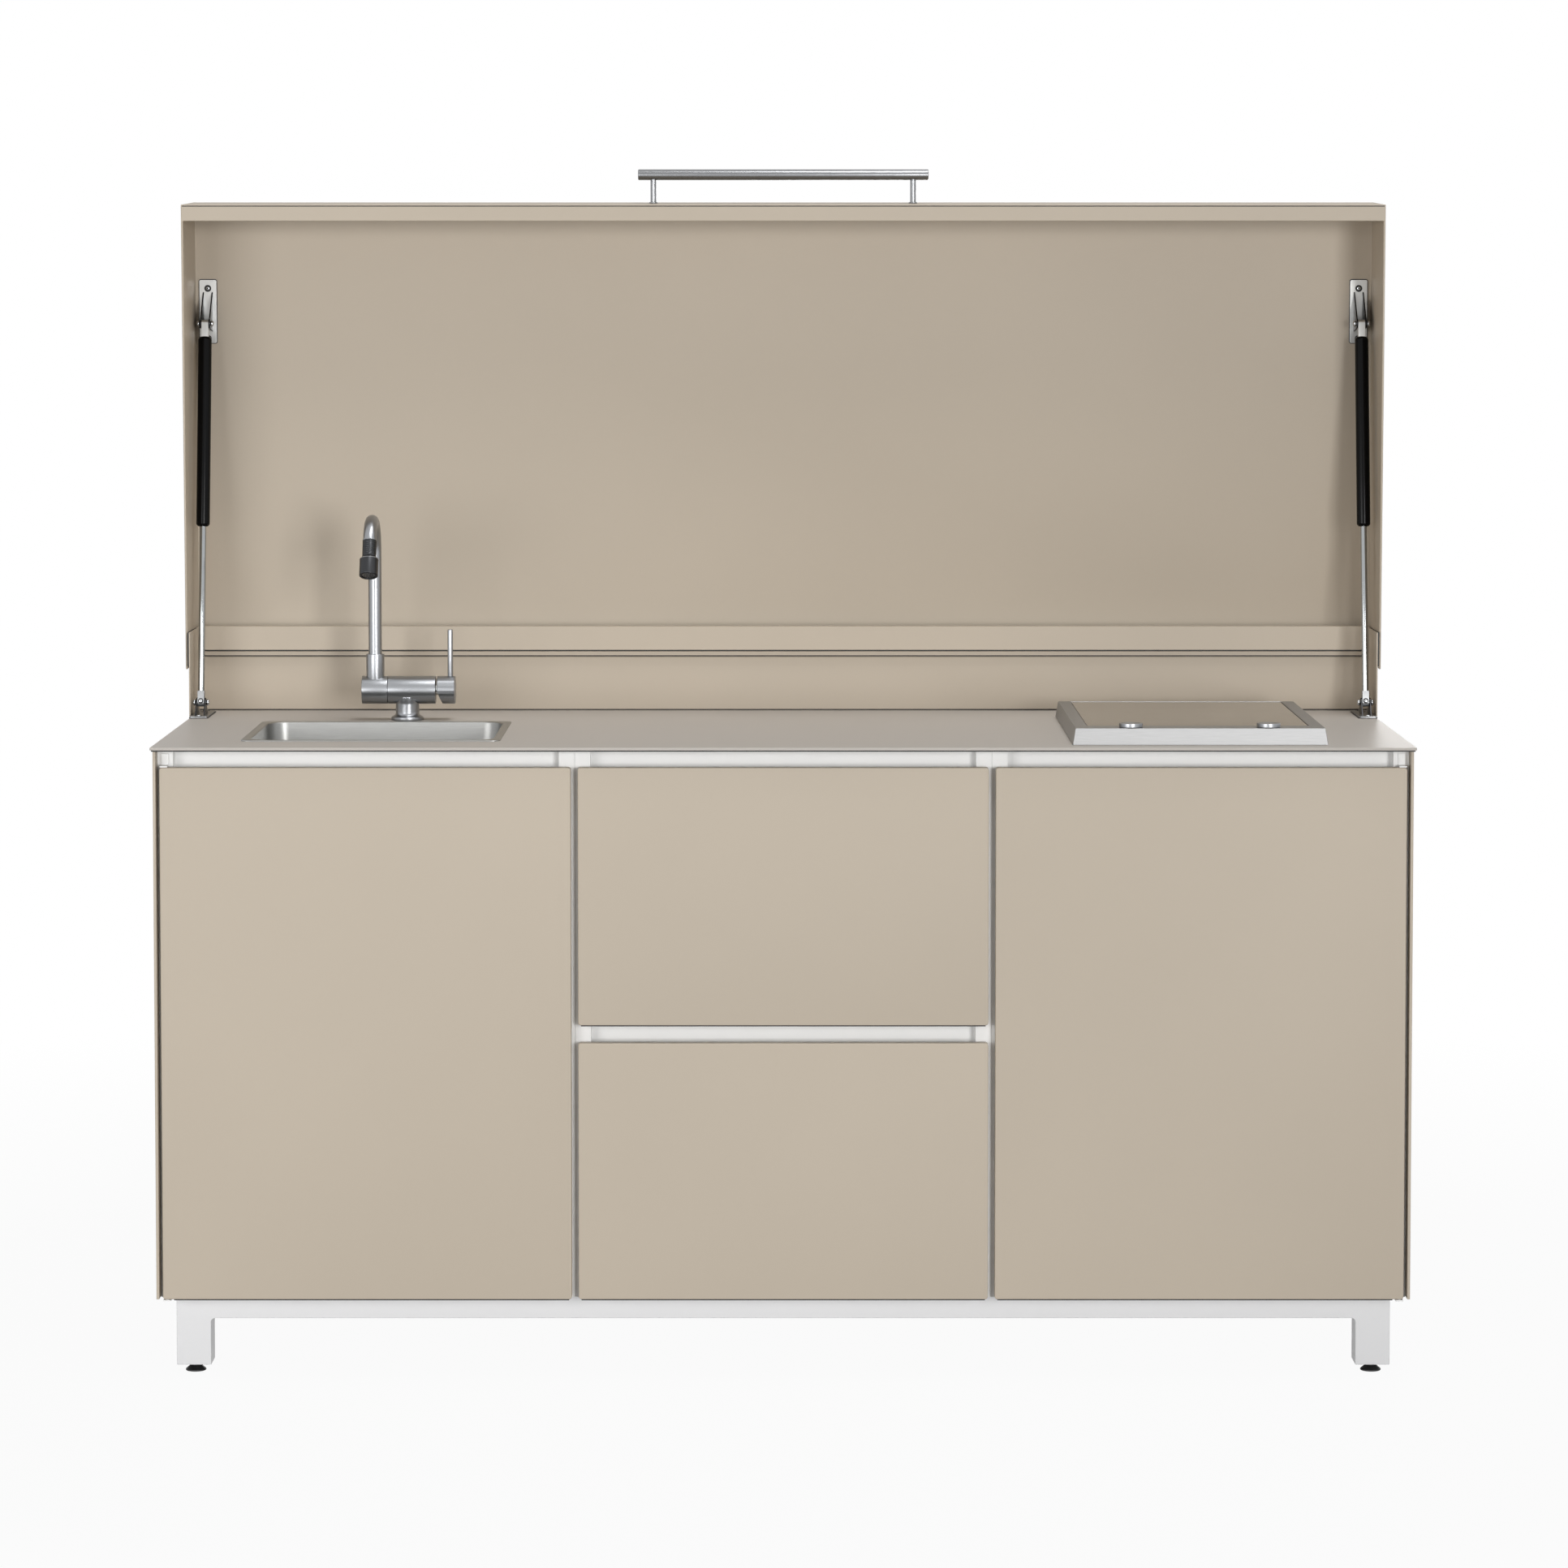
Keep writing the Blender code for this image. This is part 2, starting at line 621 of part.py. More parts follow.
def build_worktop(kit, stone):
    """Thin worktop sheet with the sink, hob and tap cut-outs."""
    bm = bmesh.new()
    outline = rounded(-WORKTOP_HALF, WORKTOP_HALF, 0, WORKTOP_DEPTH, WORKTOP_CORNER, 2)
    add_prism(bm, outline, "Z", WORKTOP_UNDER, WORKTOP_TOP)
    top = make("worktop", bm, stone, kit)
    low, high = WORKTOP_UNDER - CUT_OVERRUN, WORKTOP_TOP + CUT_OVERRUN
    hole = SINK_RIM - SINK_SHEET - RUN_GAP
    bm = bmesh.new()
    add_prism(bm, sink_outline(hole, SINK_BOWL_CORNER), "Z", low, high)
    combine(top, make("sink_cut", bm, stone, kit), "DIFFERENCE")
    bm = bmesh.new()
    add_prism(bm, hob_box(HOB_SIDE_STRIP - RUN_GAP), "Z", low, high)
    combine(top, make("hob_cut", bm, stone, kit), "DIFFERENCE")


def build_sink(kit, steel, black):
    """Pressed bowl with a thin rim, its waste with a bottle trap, and the lift-out strainer."""
    top = SINK_SEAT_Z + SINK_RIM_THICK
    floor = SINK_FLOOR_Z
    inner = SINK_RIM + SINK_TAPER
    count = len(sink_outline(0, SINK_CORNER))
    drain = [(SINK_CENTRE_X + DRAIN_RADIUS * math.cos(2 * math.pi * (i + 1 / 2) / count),
              SINK_CENTRE_Y + DRAIN_RADIUS * math.sin(2 * math.pi * (i + 1 / 2) / count))
             for i in range(count)]
    bend = SINK_FLOOR_RADIUS
    cosine = math.cos(math.pi / 4)
    mid = bend * (1 - cosine)
    corner = SINK_BOWL_CORNER
    rings = [flat_ring(sink_outline(0, SINK_CORNER), SINK_SEAT_Z),
             flat_ring(sink_outline(0, SINK_CORNER), top - SINK_RIM_THICK / 2),
             flat_ring(sink_outline(SINK_RIM_THICK / 2, SINK_CORNER), top),
             flat_ring(sink_outline(SINK_RIM, corner), top),
             flat_ring(sink_outline(inner, corner), floor + bend),
             flat_ring(sink_outline(inner + mid, corner), floor + mid),
             flat_ring(sink_outline(inner + bend, corner), floor),
             flat_ring(drain, floor),
             flat_ring(drain, floor - SINK_SHEET),
             flat_ring(sink_outline(inner + bend, corner), floor - SINK_SHEET),
             flat_ring(sink_outline(inner + mid - SINK_SHEET * cosine, corner),
                       floor + mid - SINK_SHEET * cosine),
             flat_ring(sink_outline(inner - SINK_SHEET, corner), floor + bend),
             flat_ring(sink_outline(SINK_RIM - SINK_SHEET, corner), SINK_SEAT_Z)]
    bm = bmesh.new()
    add_loft(bm, rings, closed=True)
    make("sink_bowl", bm, steel, kit, smooth=True)

    spot = (SINK_CENTRE_X, SINK_CENTRE_Y, floor)
    cup = DRAIN_RADIUS * math.cos(math.pi / count) - RUN_GAP
    flange_top = SEAT_GAP + WASTE_FLANGE_THICK
    nut_top = -SINK_SHEET - SEAT_GAP
    nut_bottom = nut_top - WASTE_NUT_HEIGHT
    pipe_bottom = -WASTE_CUP_DEPTH - PIPE_LENGTH
    trap_bottom = pipe_bottom - TRAP_HEIGHT
    profile = [(0, trap_bottom), (TRAP_RADIUS - TRAP_EDGE, trap_bottom),
               (TRAP_RADIUS, trap_bottom + TRAP_EDGE),
               (TRAP_RADIUS, pipe_bottom - TRAP_EDGE), (TRAP_RADIUS - TRAP_EDGE, pipe_bottom),
               (PIPE_RADIUS, pipe_bottom), (PIPE_RADIUS, -WASTE_CUP_DEPTH),
               (cup, -WASTE_CUP_DEPTH + WASTE_WALL),
               (cup, nut_bottom), (WASTE_NUT_RADIUS, nut_bottom), (WASTE_NUT_RADIUS, nut_top),
               (cup, nut_top),
               (cup, SEAT_GAP), (WASTE_FLANGE_RADIUS, SEAT_GAP), (WASTE_FLANGE_RADIUS, flange_top),
               (cup - WASTE_WALL, flange_top), (cup - WASTE_WALL, -WASTE_CUP_DEPTH + 2 * WASTE_WALL),
               (0, -WASTE_CUP_DEPTH + 2 * WASTE_WALL)]
    bm = bmesh.new()
    add_turned(bm, profile, ROUND_MEDIUM)
    make("sink_waste", bm, black, kit, spot, smooth=True)

    rest = -WASTE_CUP_DEPTH + 2 * WASTE_WALL + SEAT_GAP
    radius = cup - WASTE_WALL - RUN_GAP
    bm = bmesh.new()
    add_turned(bm, [(0, rest), (radius, rest), (radius, rest + STRAINER_HEIGHT),
                    (STRAINER_NECK_RADIUS, rest + STRAINER_HEIGHT),
                    (STRAINER_NECK_RADIUS, rest + STRAINER_HEIGHT + STRAINER_KNOB_HEIGHT / 2),
                    (STRAINER_KNOB_RADIUS, rest + STRAINER_HEIGHT + STRAINER_KNOB_HEIGHT / 2),
                    (STRAINER_KNOB_RADIUS, rest + STRAINER_HEIGHT + STRAINER_KNOB_HEIGHT),
                    (0, rest + STRAINER_HEIGHT + STRAINER_KNOB_HEIGHT)], ROUND_MEDIUM)
    strainer = make("sink_strainer", bm, steel, kit, spot, smooth=True)
    bm = bmesh.new()
    for i in range(ROUND_SMALL // 2):
        angle = 2 * math.pi * i / (ROUND_SMALL // 2)
        centre = (STRAINER_HOLE_CIRCLE * math.cos(angle), STRAINER_HOLE_CIRCLE * math.sin(angle), 0)
        low, high = rest - CUT_OVERRUN, rest + STRAINER_HEIGHT + CUT_OVERRUN
        add_turned(bm, [(0, low), (STRAINER_HOLE_RADIUS, low), (STRAINER_HOLE_RADIUS, high), (0, high)],
                   ROUND_SMALL // 2, centre=centre)
    combine(strainer, make("strainer_holes", bm, steel, kit, spot), "DIFFERENCE")


def cylinder_x(left, right, radius, segments, edge=0.0):
    """Solid round bar along X with small chamfers."""
    bm = bmesh.new()
    profile = [(0, left), (radius - edge, left), (radius, left + edge), (radius, right - edge),
               (radius - edge, right), (0, right)]
    if edge == 0:
        profile = [(0, left), (radius, left), (radius, right), (0, right)]
    add_turned(bm, profile, segments, axis="X")
    return bm


def build_tap(kit, steel, brass):
    """Fold-down mixer: cast body, folding joint, swivel spout, nozzle, cartridge, cap and lever."""
    axis = (TAP_X, TAP_Y, TAP_AXIS_Z)
    foot = SEAT_GAP - TAP_AXIS_HEIGHT
    shelf = -TAP_AXIS_HEIGHT + TAP_FLANGE_HEIGHT
    body = make("tap_body", cylinder_x(-TAP_BODY_LEFT, TAP_BODY_RIGHT, TAP_BODY_RADIUS, ROUND_LARGE,
                                       TAP_EDGE),
                steel, kit, axis, smooth=True)
    bm = bmesh.new()
    add_turned(bm, [(0, foot), (TAP_FLANGE_RADIUS, foot), (TAP_FLANGE_RADIUS, shelf - TAP_EDGE),
                    (TAP_FLANGE_RADIUS - TAP_EDGE, shelf), (TAP_NECK_RADIUS, shelf + TAP_FLANGE_HEIGHT),
                    (TAP_NECK_RADIUS, -TAP_BODY_RADIUS), (TAP_NECK_FLARE, -TAP_BODY_RADIUS / 2), (0, 0)],
                    ROUND_LARGE)
    combine(body, make("tap_neck", bm, steel, kit, axis, smooth=True), "UNION")
    spigot = cylinder_x(-TAP_BODY_LEFT - SPIGOT_LENGTH, -TAP_BODY_LEFT + WELD_LAP, SPIGOT_RADIUS,
                        ROUND_MEDIUM)
    combine(body, make("tap_spigot", spigot, steel, kit, axis, smooth=True), "UNION")
    bore = cylinder_x(TAP_BODY_RIGHT - CARTRIDGE_DEPTH, TAP_BODY_RIGHT + CUT_OVERRUN,
                      CARTRIDGE_RADIUS + RUN_GAP,
                      ROUND_MEDIUM)
    combine(body, make("cartridge_bore", bore, steel, kit, axis), "DIFFERENCE")

    joint_right = -TAP_BODY_LEFT - SEAT_GAP
    joint = make("tap_fold_joint", cylinder_x(joint_right - FOLD_JOINT_LENGTH, joint_right,
                                              TAP_BODY_RADIUS,
                                              ROUND_LARGE, TAP_EDGE), steel, kit, axis, smooth=True)
    collar_top = COLLAR_TOP - TAP_AXIS_HEIGHT
    spout_spot = (TAP_X - SPOUT_OFFSET, TAP_Y, TAP_AXIS_Z)
    bm = bmesh.new()
    add_turned(bm, [(0, 0), (COLLAR_RADIUS, 0), (COLLAR_RADIUS, collar_top - TAP_EDGE),
                    (COLLAR_RADIUS - TAP_EDGE, collar_top), (0, collar_top)], ROUND_MEDIUM)
    combine(joint, make("tap_collar", bm, steel, kit, spout_spot, smooth=True), "UNION")
    bore = cylinder_x(joint_right - SPIGOT_LENGTH - RUN_GAP, joint_right + CUT_OVERRUN,
                      SPIGOT_RADIUS + SEAT_GAP,
                      ROUND_MEDIUM)
    combine(joint, make("spigot_bore", bore, steel, kit, axis), "DIFFERENCE")
    bore_bottom = collar_top - COLLAR_BORE_DEPTH
    bm = bmesh.new()
    add_turned(bm, [(0, bore_bottom), (SPOUT_RADIUS + SEAT_GAP, bore_bottom),
                    (SPOUT_RADIUS + SEAT_GAP, collar_top + CUT_OVERRUN), (0, collar_top + CUT_OVERRUN)],
                    ROUND_MEDIUM)
    combine(joint, make("collar_bore", bm, steel, kit, spout_spot), "DIFFERENCE")

    bend_z = SPOUT_TOP - TAP_AXIS_HEIGHT - SPOUT_RADIUS - SPOUT_BEND
    route = [(0, bore_bottom + SEAT_GAP)]
    for y, z in arc((-SPOUT_BEND, bend_z), SPOUT_BEND, 0, math.pi - SPOUT_END_TILT, BEND_STEPS):
        route.append((y, z))
    end_y, end_z = route[-1]
    way = (-math.sin(SPOUT_END_TILT), -math.cos(SPOUT_END_TILT))
    curve = bpy.data.curves.new("tap_spout", "CURVE")
    curve.dimensions = "3D"
    curve.bevel_depth = SPOUT_RADIUS
    curve.bevel_resolution = 3
    curve.use_fill_caps = True
    line = curve.splines.new("POLY")
    line.points.add(len(route) - 1)
    for point, (y, z) in zip(line.points, route):
        point.co = (0, y, z, 1)
    spout = bpy.data.objects.new("tap_spout", curve)
    bpy.context.collection.objects.link(spout)
    curve.materials.append(steel)
    spout.parent = kit
    spout.location = spout_spot
    pipe = spout.evaluated_get(bpy.context.evaluated_depsgraph_get()).to_mesh().copy()
    bpy.data.objects.remove(spout, do_unlink=True)
    pipe.name = "tap_spout"
    pipe.shade_smooth()
    pipe.set_sharp_from_angle(angle=SMOOTH_ANGLE)
    spout = bpy.data.objects.new("tap_spout", pipe)
    bpy.context.collection.objects.link(spout)
    spout.parent = kit
    spout.location = spout_spot
    if not pipe.materials:
        pipe.materials.append(steel)

    profile = [(0, -WELD_LAP), (SLEEVE_RADIUS, -WELD_LAP)]
    step = SLEEVE_LENGTH / (2 * SLEEVE_RIBS + 1)
    for i in range(SLEEVE_RIBS):
        start = step * (2 * i + 1)
        profile += [(SLEEVE_RADIUS, start), (SLEEVE_RADIUS - SLEEVE_RIB, start + SLEEVE_RIB),
                    (SLEEVE_RADIUS - SLEEVE_RIB, start + step - SLEEVE_RIB),
                    (SLEEVE_RADIUS, start + step)]
    socket = NOZZLE_BALL_RADIUS + NOZZLE_BALL_GAP
    profile += [(SLEEVE_RADIUS, SLEEVE_LENGTH), (socket, SLEEVE_LENGTH),
                (socket, SLEEVE_LENGTH - socket),
                (0, SLEEVE_LENGTH - socket)]
    slant = Matrix.Rotation(math.pi - SPOUT_END_TILT, 4, "X")
    bm = bmesh.new()
    add_turned(bm, profile, ROUND_MEDIUM)
    bmesh.ops.transform(bm, matrix=Matrix.Translation((0, end_y, end_z)) @ slant, verts=bm.verts)
    combine(spout, make("tap_sleeve", bm, steel, kit, spout_spot, smooth=True), "UNION")

    ball_y = spout_spot[1] + end_y + way[0] * SLEEVE_LENGTH
    ball_z = spout_spot[2] + end_z + way[1] * SLEEVE_LENGTH
    shoulder = NOZZLE_GAP
    tip = shoulder + NOZZLE_LENGTH
    neck = NOZZLE_BALL_RADIUS * math.cos(math.radians(20))
    profile = [(0, -NOZZLE_BALL_RADIUS)]
    for r, h in arc((0, 0), NOZZLE_BALL_RADIUS, -math.pi / 2, math.radians(-20), 5)[1:]:
        profile.append((r, h))
    profile += [(neck, shoulder), (NOZZLE_RADIUS - NOZZLE_EDGE, shoulder),
                (NOZZLE_RADIUS, shoulder + NOZZLE_EDGE),
                (NOZZLE_RADIUS, tip - NOZZLE_EDGE / 2), (NOZZLE_RADIUS - NOZZLE_EDGE / 2, tip),
                (NOZZLE_BORE_RADIUS, tip), (NOZZLE_BORE_RADIUS, tip - NOZZLE_BORE_DEPTH),
                (0, tip - NOZZLE_BORE_DEPTH)]
    bm = bmesh.new()
    add_turned(bm, profile, ROUND_MEDIUM)
    bmesh.ops.transform(bm, matrix=slant, verts=bm.verts)
    make("tap_nozzle", bm, steel, kit, (spout_spot[0], ball_y, ball_z), smooth=True)

    cap_left = TAP_BODY_RIGHT + CAP_GAP
    pivot = (TAP_X + cap_left, TAP_Y, TAP_AXIS_Z)
    profile = [(0, -CAP_GAP - CARTRIDGE_DEPTH + SEAT_GAP), (CARTRIDGE_RADIUS,
                                                            -CAP_GAP - CARTRIDGE_DEPTH + SEAT_GAP)]
    profile += [(r, h) for h, r in arc((0, 0), CARTRIDGE_RADIUS, math.pi / 2, 0, 5)[:-1]]
    profile.append((0, CARTRIDGE_RADIUS))
    bm = bmesh.new()
    add_turned(bm, profile, ROUND_MEDIUM, axis="X")
    make("tap_cartridge", bm, brass, kit, pivot, smooth=True)

    cap = make("tap_cap", cylinder_x(0, CAP_LENGTH, TAP_BODY_RADIUS, ROUND_LARGE, TAP_EDGE), steel, kit,
               pivot,
               smooth=True)
    bm = bmesh.new()
    wide = TAP_BODY_RADIUS + CUT_OVERRUN
    slope = CAP_WEDGE / TAP_BODY_RADIUS
    wedge = [(-CUT_OVERRUN, 0), (0, 0), (slope * wide, -wide), (-CUT_OVERRUN, -wide)]
    add_prism(bm, wedge, "Y", -wide, wide)
    combine(cap, make("cap_wedge", bm, steel, kit, pivot), "DIFFERENCE")
    recess = cylinder_x(-CUT_OVERRUN, CARTRIDGE_RADIUS + SEAT_GAP, CAP_RECESS_RADIUS, ROUND_MEDIUM)
    combine(cap, make("cap_recess", recess, steel, kit, pivot), "DIFFERENCE")
    lever_spot = (pivot[0] + CAP_LENGTH - LEVER_FROM_CAP_END, TAP_Y, TAP_AXIS_Z)
    seat = TAP_BODY_RADIUS - LEVER_SEAT_DEPTH
    top = LEVER_TOP - TAP_AXIS_HEIGHT
    bm = bmesh.new()
    add_turned(bm, [(0, seat - SEAT_GAP), (LEVER_RADIUS + SEAT_GAP, seat - SEAT_GAP),
                    (LEVER_RADIUS + SEAT_GAP, wide), (0, wide)], ROUND_SMALL)
    combine(cap, make("lever_hole", bm, steel, kit, lever_spot), "DIFFERENCE")
    bm = bmesh.new()
    add_turned(bm, [(0, seat), (LEVER_RADIUS, seat), (LEVER_RADIUS, top - TAP_EDGE),
                    (LEVER_RADIUS - TAP_EDGE, top), (0, top)], ROUND_SMALL)
    make("tap_lever", bm, steel, kit, lever_spot, smooth=True)


def build_hob(kit, steel, plate_finish, dark):
    """Raised drop-in frame, fry plate, two knobs and the housing under the worktop."""
    left = HOB_CENTRE_X - HOB_WIDTH / 2 + HOB_SIDE_STRIP + HOB_SLOPE
    right = HOB_CENTRE_X + HOB_WIDTH / 2 - HOB_SIDE_STRIP - HOB_SLOPE
    front = HOB_FRONT + HOB_SLOPE / 2 + HOB_FRONT_STRIP
    back = HOB_FRONT + HOB_LENGTH - HOB_SLOPE - HOB_BACK_STRIP
    window = [(left, front), (right, front), (right, back), (left, back)]
    inset = PLATE_LEDGE
    throat = [(left + inset, front + inset), (right - inset, front + inset),
              (right - inset, back - inset), (left + inset, back - inset)]
    ledge = HOB_TOP_Z - PLATE_SINK - PLATE_THICK - SEAT_GAP
    rings = [flat_ring(hob_box(0), HOB_SEAT_Z), flat_ring(hob_box(HOB_SLOPE), HOB_TOP_Z),
             flat_ring(window, HOB_TOP_Z), flat_ring(window, ledge), flat_ring(throat, ledge),
             flat_ring(throat, HOB_SEAT_Z)]
    bm = bmesh.new()
    add_loft(bm, rings, closed=True)
    frame = make("hob_frame", bm, steel, kit)

    bm = bmesh.new()
    gap = PLATE_GAP
    outline = [(left + gap, front + gap), (right - gap, front + gap), (right - gap, back - gap),
               (left + gap, back - gap)]
    add_prism(bm, outline, "Z", ledge + SEAT_GAP, ledge + SEAT_GAP + PLATE_THICK)
    make("hob_plate", bm, plate_finish, kit)

    for name, side in (("hob_knob_left", -1), ("hob_knob_right", 1)):
        spot = (HOB_CENTRE_X + side * KNOB_SPACING / 2, HOB_FRONT + KNOB_SETBACK, HOB_TOP_Z)
        bm = bmesh.new()
        hole = KNOB_STEM_RADIUS + RUN_GAP
        add_turned(bm, [(0, -HOB_HEIGHT - CUT_OVERRUN), (hole, -HOB_HEIGHT - CUT_OVERRUN),
                        (hole, CUT_OVERRUN),
                        (0, CUT_OVERRUN)], ROUND_SMALL)
        combine(frame, make(f"hole_{name}", bm, steel, kit, spot), "DIFFERENCE")
        bm = bmesh.new()
        add_turned(bm, [(0, -KNOB_STEM_LENGTH), (KNOB_STEM_RADIUS, -KNOB_STEM_LENGTH),
                        (KNOB_STEM_RADIUS, SEAT_GAP),
                        (KNOB_RADIUS - KNOB_EDGE / 2, SEAT_GAP), (KNOB_RADIUS, KNOB_EDGE),
                        (KNOB_RADIUS, KNOB_HEIGHT - KNOB_EDGE), (KNOB_RADIUS - KNOB_EDGE, KNOB_HEIGHT),
                        (0, KNOB_HEIGHT)], ROUND_LARGE)
        make(name, bm, steel, kit, spot, smooth=True)

    rim = HOB_SIDE_STRIP
    sheet = HOUSING_SHEET
    bottom = WORKTOP_UNDER - HOUSING_DROP
    top = WORKTOP_TOP
    rings = [flat_ring(hob_box(rim), top), flat_ring(hob_box(rim), bottom + HOUSING_TAPER),
             flat_ring(hob_box(rim + HOUSING_TAPER), bottom)]
    inside = [flat_ring(hob_box(rim + HOUSING_TAPER), bottom + sheet),
              flat_ring(hob_box(rim + sheet), bottom + HOUSING_TAPER + sheet / 2),
              flat_ring(hob_box(rim + sheet), top)]
    bm = bmesh.new()
    outer = [[bm.verts.new(p) for p in ring] for ring in rings]
    inner_skin = [[bm.verts.new(p) for p in ring] for ring in inside]
    skins = outer[::-1]
    for first, second in zip(skins, skins[1:]):
        bridge(bm, first, second)
    for first, second in zip(inner_skin, inner_skin[1:]):
        bridge(bm, first, second)
    bridge(bm, skins[-1], inner_skin[-1])
    bm.faces.new(skins[0])
    bm.faces.new(inner_skin[0])
    make("hob_housing", bm, dark, kit)


def build_upstand(kit, taupe):
    """Folded upstand round the worktop, its top rail with the grooved lip, and the splash panel."""
    half, sheet = UPSTAND_HALF, UPSTAND_SHEET
    outline = [(-half, WALL_BACK), (-half, UPSTAND_CHEEK_FRONT), (-half + sheet, UPSTAND_CHEEK_FRONT),
               (-half + sheet, WALL_FRONT), (half - sheet, WALL_FRONT),
               (half - sheet, UPSTAND_CHEEK_FRONT),
               (half, UPSTAND_CHEEK_FRONT), (half, WALL_BACK)]
    top = RAIL_TOP - RAIL_WALL - SEAT_GAP
    bm = bmesh.new()
    add_prism(bm, outline, "Z", UPSTAND_BOTTOM, top)
    body = make("upstand", bm, taupe, kit)
    shelf = UPSTAND_BOTTOM - UPSTAND_FOLD
    rest = CARCASS_BACK + SEAT_GAP + BACK_THICK + SEAT_GAP
    outline = [(rest, shelf - UPSTAND_FOLD), (rest + sheet, shelf - UPSTAND_FOLD), (rest + sheet, shelf),
               (WALL_BACK, shelf), (WALL_BACK, UPSTAND_BOTTOM + WELD_LAP),
               (WALL_FRONT, UPSTAND_BOTTOM + WELD_LAP),
               (WALL_FRONT, shelf + sheet), (rest, shelf + sheet)]
    bm = bmesh.new()
    add_prism(bm, outline, "X", -CARCASS_HALF, CARCASS_HALF)
    combine(body, make("upstand_fold", bm, taupe, kit), "UNION")

    wall = RAIL_WALL
    back_in = WALL_BACK + SEAT_GAP
    face = WALL_FRONT - RAIL_PROJECTION
    near = WALL_FRONT - SEAT_GAP
    outline = [(RAIL_BACK, RAIL_TOP - RAIL_BACK_DROP), (RAIL_BACK, RAIL_TOP), (face, RAIL_TOP),
               (face, RAIL_BOTTOM),
               (near - wall, RAIL_BOTTOM), (near - wall, LIP_TOP), (near - LIP_PROJECTION, LIP_TOP),
               (near - LIP_PROJECTION, LIP_BOTTOM), (near, LIP_BOTTOM), (near, RAIL_BOTTOM + wall),
               (face + wall, RAIL_BOTTOM + wall), (face + wall, RAIL_TOP - wall),
               (back_in, RAIL_TOP - wall),
               (back_in, RAIL_TOP - RAIL_BACK_DROP)]
    reach = half - sheet - SEAT_GAP
    bm = bmesh.new()
    add_prism(bm, outline, "X", -reach, reach)
    make("upstand_rail", bm, taupe, kit)

    bm = bmesh.new()
    low = WORKTOP_TOP + SPLASH_GAP_BOTTOM
    high = LIP_BOTTOM - SPLASH_GAP_TOP
    add_box(bm, (-reach, WALL_FRONT - SEAT_GAP - SPLASH_THICK, low),
            (reach, WALL_FRONT - SEAT_GAP, high))
    make("splash_panel", bm, taupe, kit)


def hinge_outline(leaf):
    """Section of one hinge leaf: a flat leaf that curls round the pin, in (y, z) about the pin."""
    outer, inner = HINGE_CURL_RADIUS, HINGE_CURL_RADIUS - HINGE_SHEET
    if leaf == "fixed":
        start = math.pi
        tail = [(-inner, -HINGE_LEAF_DROP), (-outer, -HINGE_LEAF_DROP)]
        end = start - HINGE_CURL_ANGLE
    else:
        start = 0
        height = LID_UNDER - SEAT_GAP
        tail = [(inner, height), (inner + HINGE_LEAF_REACH, height),
                (inner + HINGE_LEAF_REACH, height - HINGE_SHEET),
                (outer, height - HINGE_SHEET)]
        end = start - HINGE_CURL_ANGLE
    outside = arc((0, 0), outer, start, end, CURL_STEPS)
    inside = arc((0, 0), inner, end, start, CURL_STEPS)
    return outside + inside + tail


def build_hinge(kit, lid, steel):
    """Piano hinge: fixed leaf on the rail, moving leaf under the lid, and the pin."""
    pitch = 2 * HINGE_HALF / HINGE_KNUCKLES
    clear = HINGE_CURL_RADIUS + RUN_GAP
    leaves = (("lid_hinge_fixed_leaf", "fixed", kit, (0, AXIS_Y, AXIS_Z), 1),
              ("lid_hinge_moving_leaf", "moving", lid, (0, 0, 0), 0))
    for name, kind, parent, spot, parity in leaves:
        bm = bmesh.new()
        add_prism(bm, hinge_outline(kind), "X", -HINGE_HALF, HINGE_HALF)
        leaf = make(name, bm, steel, parent, spot)
        for i in range(HINGE_KNUCKLES):
            if i % 2 != parity:
                continue
            left = -HINGE_HALF + i * pitch - HINGE_END_GAP / 2
            right = left + pitch + HINGE_END_GAP
            if i == 0:
                left -= CUT_OVERRUN
            if i == HINGE_KNUCKLES - 1:
                right += CUT_OVERRUN
            bm = bmesh.new()
            add_box(bm, (left, -clear, -clear), (right, clear, clear))
            combine(leaf, make(f"{name}_notch_{i}", bm, steel, parent, spot), "DIFFERENCE")
    make("lid_hinge_pin", cylinder_x(-HINGE_HALF, HINGE_HALF, HINGE_PIN_RADIUS, ROUND_SMALL), steel, kit,
         (0, AXIS_Y, AXIS_Z), smooth=True)


